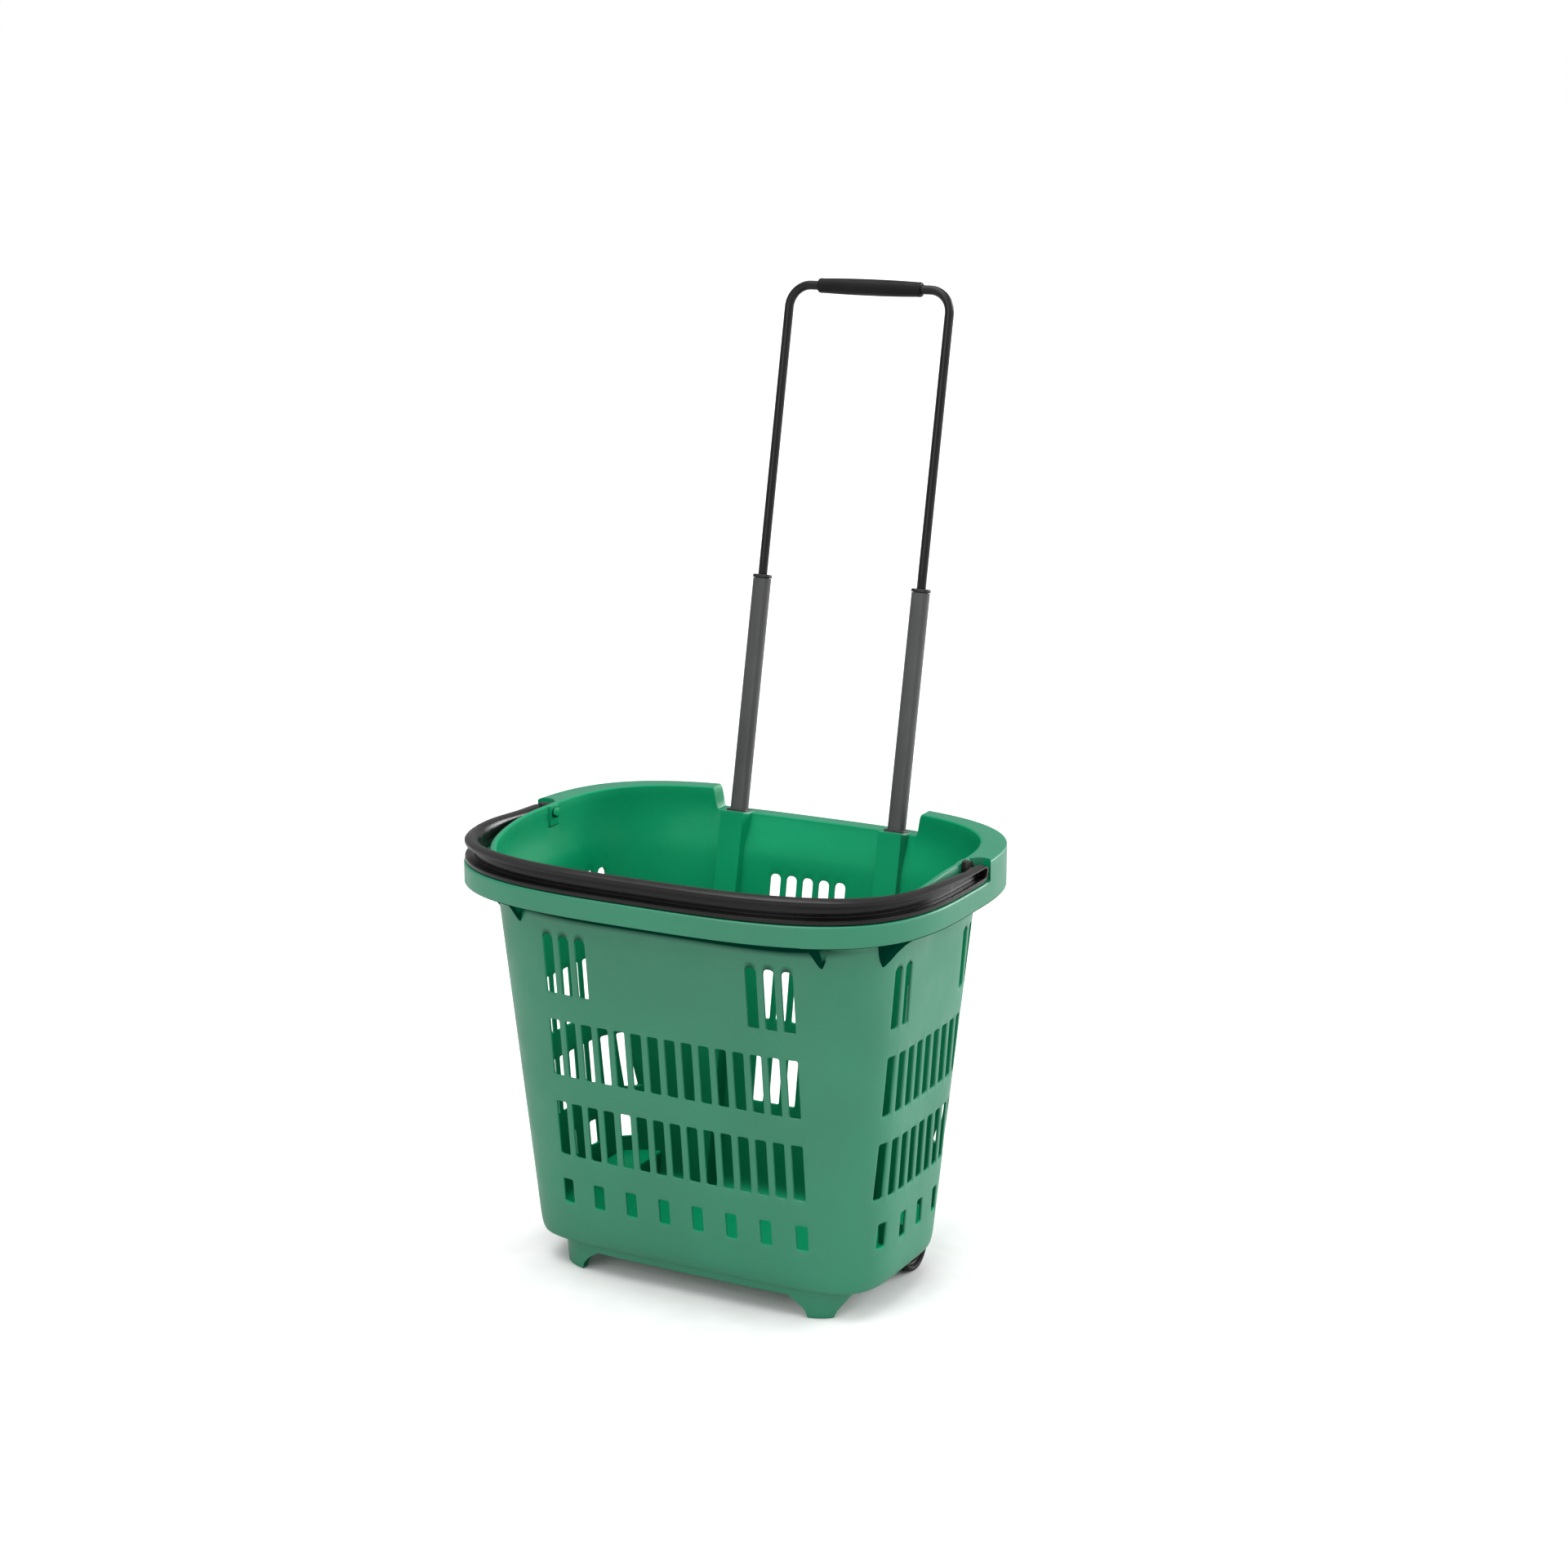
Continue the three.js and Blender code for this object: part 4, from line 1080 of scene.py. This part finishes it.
# ------------------------------------------------------------------ materials
def surface(name, dark, light, rough, grain, grain_depth, cloud, metallic=0.0, specular=0.5):
    """Clouded colour, uneven gloss and a fine grain. grain and cloud are noise scales,
    grain_depth is in metres."""
    material, tree, shader = new_material(name)
    coords = node(tree, "TexCoord").outputs["Object"]
    clouds = remap(tree, noise(tree, coords, scale=cloud, detail=4), to=(0, 0.7))
    specks = remap(tree, noise(tree, coords, scale=grain * 0.35, detail=2), to=(0, 1),
                   span=(0.3, 0.7))
    speck_share = 0.3
    blend = calc(tree, "MULTIPLY_ADD", specks, speck_share, clouds)
    gloss = noise(tree, coords, scale=cloud * 3.1, detail=3)
    relief = noise(tree, coords, scale=grain, detail=2)
    bump = node(tree, "Bump", {"Strength": 1.0, "Distance": grain_depth, "Height": relief})
    set_inputs(tree, shader, {
        "Base Color": mix(tree, blend, dark, light),
        "Roughness": remap(tree, gloss, to=rough, span=(0.3, 0.7)),
        "Metallic": metallic, "Specular IOR Level": specular, "Normal": bump.outputs[0]})
    return material


MATERIALS = {
    "basket_plastic": surface(
        "green_polypropylene", dark=(0.0005, 0.225, 0.094), light=(0.002, 0.265, 0.114),
        rough=(0.36, 0.5), grain=1100, grain_depth=0.000018, cloud=9, specular=0.8),
    "handle_plastic": surface(
        "black_handle_plastic", dark=(0.003, 0.0027, 0.0027), light=(0.006, 0.0055, 0.0055),
        rough=(0.22, 0.34), grain=1200, grain_depth=0.000012, cloud=25, specular=0.3),
    "grip_plastic": surface(
        "black_grip_plastic", dark=(0.004, 0.0038, 0.0038), light=(0.008, 0.0077, 0.0077),
        rough=(0.42, 0.55), grain=1400, grain_depth=0.00004, cloud=30, specular=0.15),
    "rod_coat": surface(
        "black_rod_coat", dark=(0.003, 0.0027, 0.0027), light=(0.006, 0.0054, 0.0054),
        rough=(0.26, 0.38), grain=1600, grain_depth=0.00001, cloud=22, specular=0.3),
    "tube_coat": surface(
        "grey_tube_coat", dark=(0.045, 0.045, 0.046), light=(0.062, 0.062, 0.063),
        rough=(0.36, 0.48), grain=1700, grain_depth=0.000012, cloud=20, specular=0.4),
    "fitting_plastic": surface(
        "black_nylon", dark=(0.006, 0.006, 0.006), light=(0.012, 0.012, 0.012),
        rough=(0.4, 0.52), grain=1300, grain_depth=0.00002, cloud=40, specular=0.35),
    "hub_plastic": surface(
        "wheel_centre_plastic", dark=(0.008, 0.008, 0.0085), light=(0.016, 0.016, 0.017),
        rough=(0.3, 0.42), grain=1200, grain_depth=0.00002, cloud=40, specular=0.35),
    "tyre_rubber": surface(
        "tyre_rubber", dark=(0.006, 0.006, 0.006), light=(0.016, 0.0155, 0.015),
        rough=(0.62, 0.8), grain=1500, grain_depth=0.00005, cloud=60, specular=0.3),
    "steel": surface(
        "zinc_plated_steel", dark=(0.42, 0.43, 0.44), light=(0.62, 0.63, 0.64),
        rough=(0.24, 0.38), grain=1800, grain_depth=0.00001, cloud=70, metallic=1.0),
}


def inner_face_mask(tree):
    """1 on faces that look towards the basket's middle, 0 on those that look outwards."""
    coords = node(tree, "TexCoord").outputs["Object"]
    centred = calc(tree, "ADD", coords, (0, -Y_SHIFT * MM, 0), kind="VectorMath")
    flat = calc(tree, "MULTIPLY", centred, (0.62, 1, 0), kind="VectorMath")
    outward = calc(tree, "NORMALIZE", flat, kind="VectorMath")
    normal, facing, height = facing_and_height(tree)
    dot = calc(tree, "DOT_PRODUCT", outward, normal, kind="VectorMath", output="Value")
    # floor and wheel housings, seen from above
    floor_face = calc(tree, "MULTIPLY", remap(tree, facing, to=(0, 1), span=(0.4, 0.7)),
                      remap(tree, height, to=(1, 0), span=(0.07, 0.08)))
    return calc(tree, "MAXIMUM", remap(tree, dot, to=(1, 0), span=(-0.35, -0.12)), floor_face)


def tint_inside(tree, shader):
    """Painted light: inner faces are deep green without the painted haze, with painted shade making
    them deeper towards the floor; outer ones are glossy and carry a painted haze, a darker, greyer
    copy of the green.
    """
    base = shader.inputs["Base Color"].links[0].from_socket
    mask = inner_face_mask(tree)
    # painted haze: a darker, greyer copy of the green on the outer faces
    outer = tint(tree, base, by=(1.0, 0.74, 0.86))
    _, facing, height = facing_and_height(tree)
    # painted shade: inner faces darken lower down and where they do not face up
    lit = calc(tree, "MAXIMUM", remap(tree, height, to=(0, 1), span=(0.04, 0.34)),
               remap(tree, facing, to=(0, 1), span=(0.3, 0.6)))
    inner = mix(tree, lit, tint(tree, base, by=(0.6, 0.5, 0.5)), base)
    set_inputs(tree, shader, {
        "Base Color": mix(tree, mask, outer, inner),
        "Specular IOR Level": remap(tree, mask, to=(0.8, 0.1), span=(0, 1))})


def shade_under_rim(tree, shader):
    """Painted shade: down-turned faces just under the rim ledge are deeper in colour and duller, as
    if shaded by the rim.
    """
    base = shader.inputs["Base Color"].links[0].from_socket
    specular = shader.inputs["Specular IOR Level"].links[0].from_socket
    _, facing, height = facing_and_height(tree)
    under = calc(tree, "MULTIPLY", remap(tree, facing, to=(1, 0), span=(-0.27, -0.17)),
                 remap(tree, height, to=(0, 1), span=(0.325, 0.333)))
    # painted shade: a dark copy of the green under the rim
    dark = tint(tree, base, by=(0.3, 0.17, 0.2))
    kept = remap(tree, under, to=(1, 0), span=(0, 1))
    set_inputs(tree, shader, {
        "Base Color": mix(tree, under, base, dark),
        "Specular IOR Level": calc(tree, "MULTIPLY", specular, kept)})


green_tree = MATERIALS["basket_plastic"].node_tree
green_shader = next(n for n in green_tree.nodes if n.type == "BSDF_PRINCIPLED")
# Painted light on the green: haze on the outer faces, shade low inside and under the rim.
tint_inside(green_tree, green_shader)
shade_under_rim(green_tree, green_shader)

# ------------------------------------------------------------------ pieces onto the frame
slot_of = {part["node"]: part["material_slot"] for part in frame["record"]["subparts"]}
body_of = {n: body for body, names in frame["record"]["behaviour"]["bodies"].items()
           for n in names}


def finish(ob, slot, angle):
    """One material, smooth shading, and sharp edges above an angle in degrees."""
    ob.data.materials.clear()
    ob.data.materials.append(MATERIALS[slot])
    ob.data.shade_smooth()
    ob.data.set_sharp_from_angle(angle=math.radians(angle))


def dress(ob, part, form, angle):
    """Put a piece in place of the frame's part."""
    place(ob)
    ob.name = ob.data.name = f"{part}_{form}"
    face_outwards(ob)
    finish(ob, slot_of[part], angle)
    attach(ob, body_of[part])
    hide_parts(part)
    return ob


def colour_pin_head(ob):
    """The pin's head carries a cap in the basket's colour."""
    ob.data.materials.append(MATERIALS["basket_plastic"])
    for face in ob.data.polygons:
        if abs(face.center.x) < (PIN_HEAD_END + 0.05) * MM:
            face.material_index = 1


for part, ob in frame["nodes"].items():
    finish(ob, slot_of[part], 30)

basket = dress(basket_piece(), "basket_shell", "moulding", 30)
basket.name = basket.data.name = "basket_moulding"
dress(carry_handle(), "carry_handle", "moulding", 40)
dress(tow_rod(), "tow_rod", "bent", 50)
dress(tow_grip(), "tow_grip", "moulding", 40)
dress(wheel_axle(), "wheel_axle", "bar", 40)
for side, side_name in ((-1, "left"), (1, "right")):
    for build, form, angle in (
            (mid_tube, "oval", 40), (tube_cap, "moulding", 40), (guide_collar, "moulding", 40),
            (collar_screw, "pan_head", 40), (handle_pin, "headed", 40), (handle_clip, "ring", 30),
            (wheel_hub, "moulding", 35), (wheel_tyre, "band", 40), (axle_cap, "pressed", 40)):
        piece = dress(build(side), f"{build.__name__}_{side_name}", form, angle)
        if build is handle_pin:
            colour_pin_head(piece)


# ------------------------------------------------------------------ floor, light, camera
def stage_floor(half=40.0, squares=20):
    """Pale floor in metres, darker for light rays than for the camera."""
    steps = np.linspace(-half, half, squares + 1)
    row = squares + 1
    faces = [(j * row + i, j * row + i + 1, (j + 1) * row + i + 1, (j + 1) * row + i)
             for j in range(squares) for i in range(squares)]
    floor = make("floor", [(x, y, 0.0) for y in steps for x in steps], faces)
    material, tree, shader = new_material("pale_floor")
    coords = node(tree, "TexCoord").outputs["Object"]
    clouds = remap(tree, noise(tree, coords, scale=30, detail=4), to=(0, 1))
    seen = mix(tree, clouds, (0.88, 0.88, 0.88), (0.92, 0.92, 0.92))
    camera_ray = node(tree, "LightPath").outputs["Is Camera Ray"]
    set_inputs(tree, shader, {"Base Color": mix(tree, camera_ray, (0.6, 0.6, 0.6), seen),
                              "Roughness": 0.7, "Specular IOR Level": 0.2})
    floor.data.materials.append(material)


def studio_world():
    """Plain white to the camera; as a light, brighter overhead and to the right than below."""
    low, overhead_gain, right_gain, least = 0.3, 0.5, 0.35, 0.12
    world = bpy.data.worlds.new("studio")
    bpy.context.scene.world = world
    world.use_nodes = True
    tree = world.node_tree
    coords = node(tree, "TexCoord").outputs["Generated"]
    direction = node(tree, "SeparateXYZ", {0: coords}).outputs
    glow = calc(tree, "ADD", calc(tree, "MULTIPLY", direction["Z"], overhead_gain), low)
    right = calc(tree, "MULTIPLY", calc(tree, "MAXIMUM", direction["X"], 0.0), right_gain)
    glow = calc(tree, "MAXIMUM", calc(tree, "ADD", glow, right), least)
    camera_ray = node(tree, "LightPath").outputs["Is Camera Ray"]
    strength = node(tree, "Mix", {0: camera_ray, 2: glow, 3: 1.0}, data_type="FLOAT")
    set_inputs(tree, tree.nodes["Background"],
               {"Strength": strength.outputs[0], "Color": (1, 1, 1, 1)})


def sun(name, direction, strength, angle):
    """Lamp shining along the given direction; angle is its width in degrees."""
    lamp = bpy.data.lights.new(name, "SUN")
    lamp.energy = strength
    lamp.angle = math.radians(angle)
    ob = bpy.data.objects.new(name, lamp)
    bpy.context.scene.collection.objects.link(ob)
    ob.rotation_euler = Vector(direction).to_track_quat("-Z", "Y").to_euler()


stage_floor()
studio_world()
sun("overhead", direction=(0.1, 0.15, -1.0), strength=2.1, angle=50)
sun("right", direction=(-1.0, -0.1, -0.5), strength=0.7, angle=40)
sun("right_rear", direction=(-0.5, -0.85, -0.26), strength=2.2, angle=26)
sun("front", direction=(0.1, 1.0, -0.5), strength=0.85, angle=40)

camera_data = bpy.data.cameras.new("camera")
camera = bpy.data.objects.new("camera", camera_data)
bpy.context.scene.collection.objects.link(camera)
view = Vector((-0.457426, 0.855986, -0.240933)).normalized()
camera.location = (1.2515, -2.29614, 1.09243)
camera.rotation_euler = view.to_track_quat("-Z", "Y").to_euler()
camera_data.lens = 68.78
camera_data.sensor_width = 36.0
camera_data.clip_end = 50
bpy.context.scene.camera = camera
bpy.context.scene.view_settings.view_transform = "Standard"
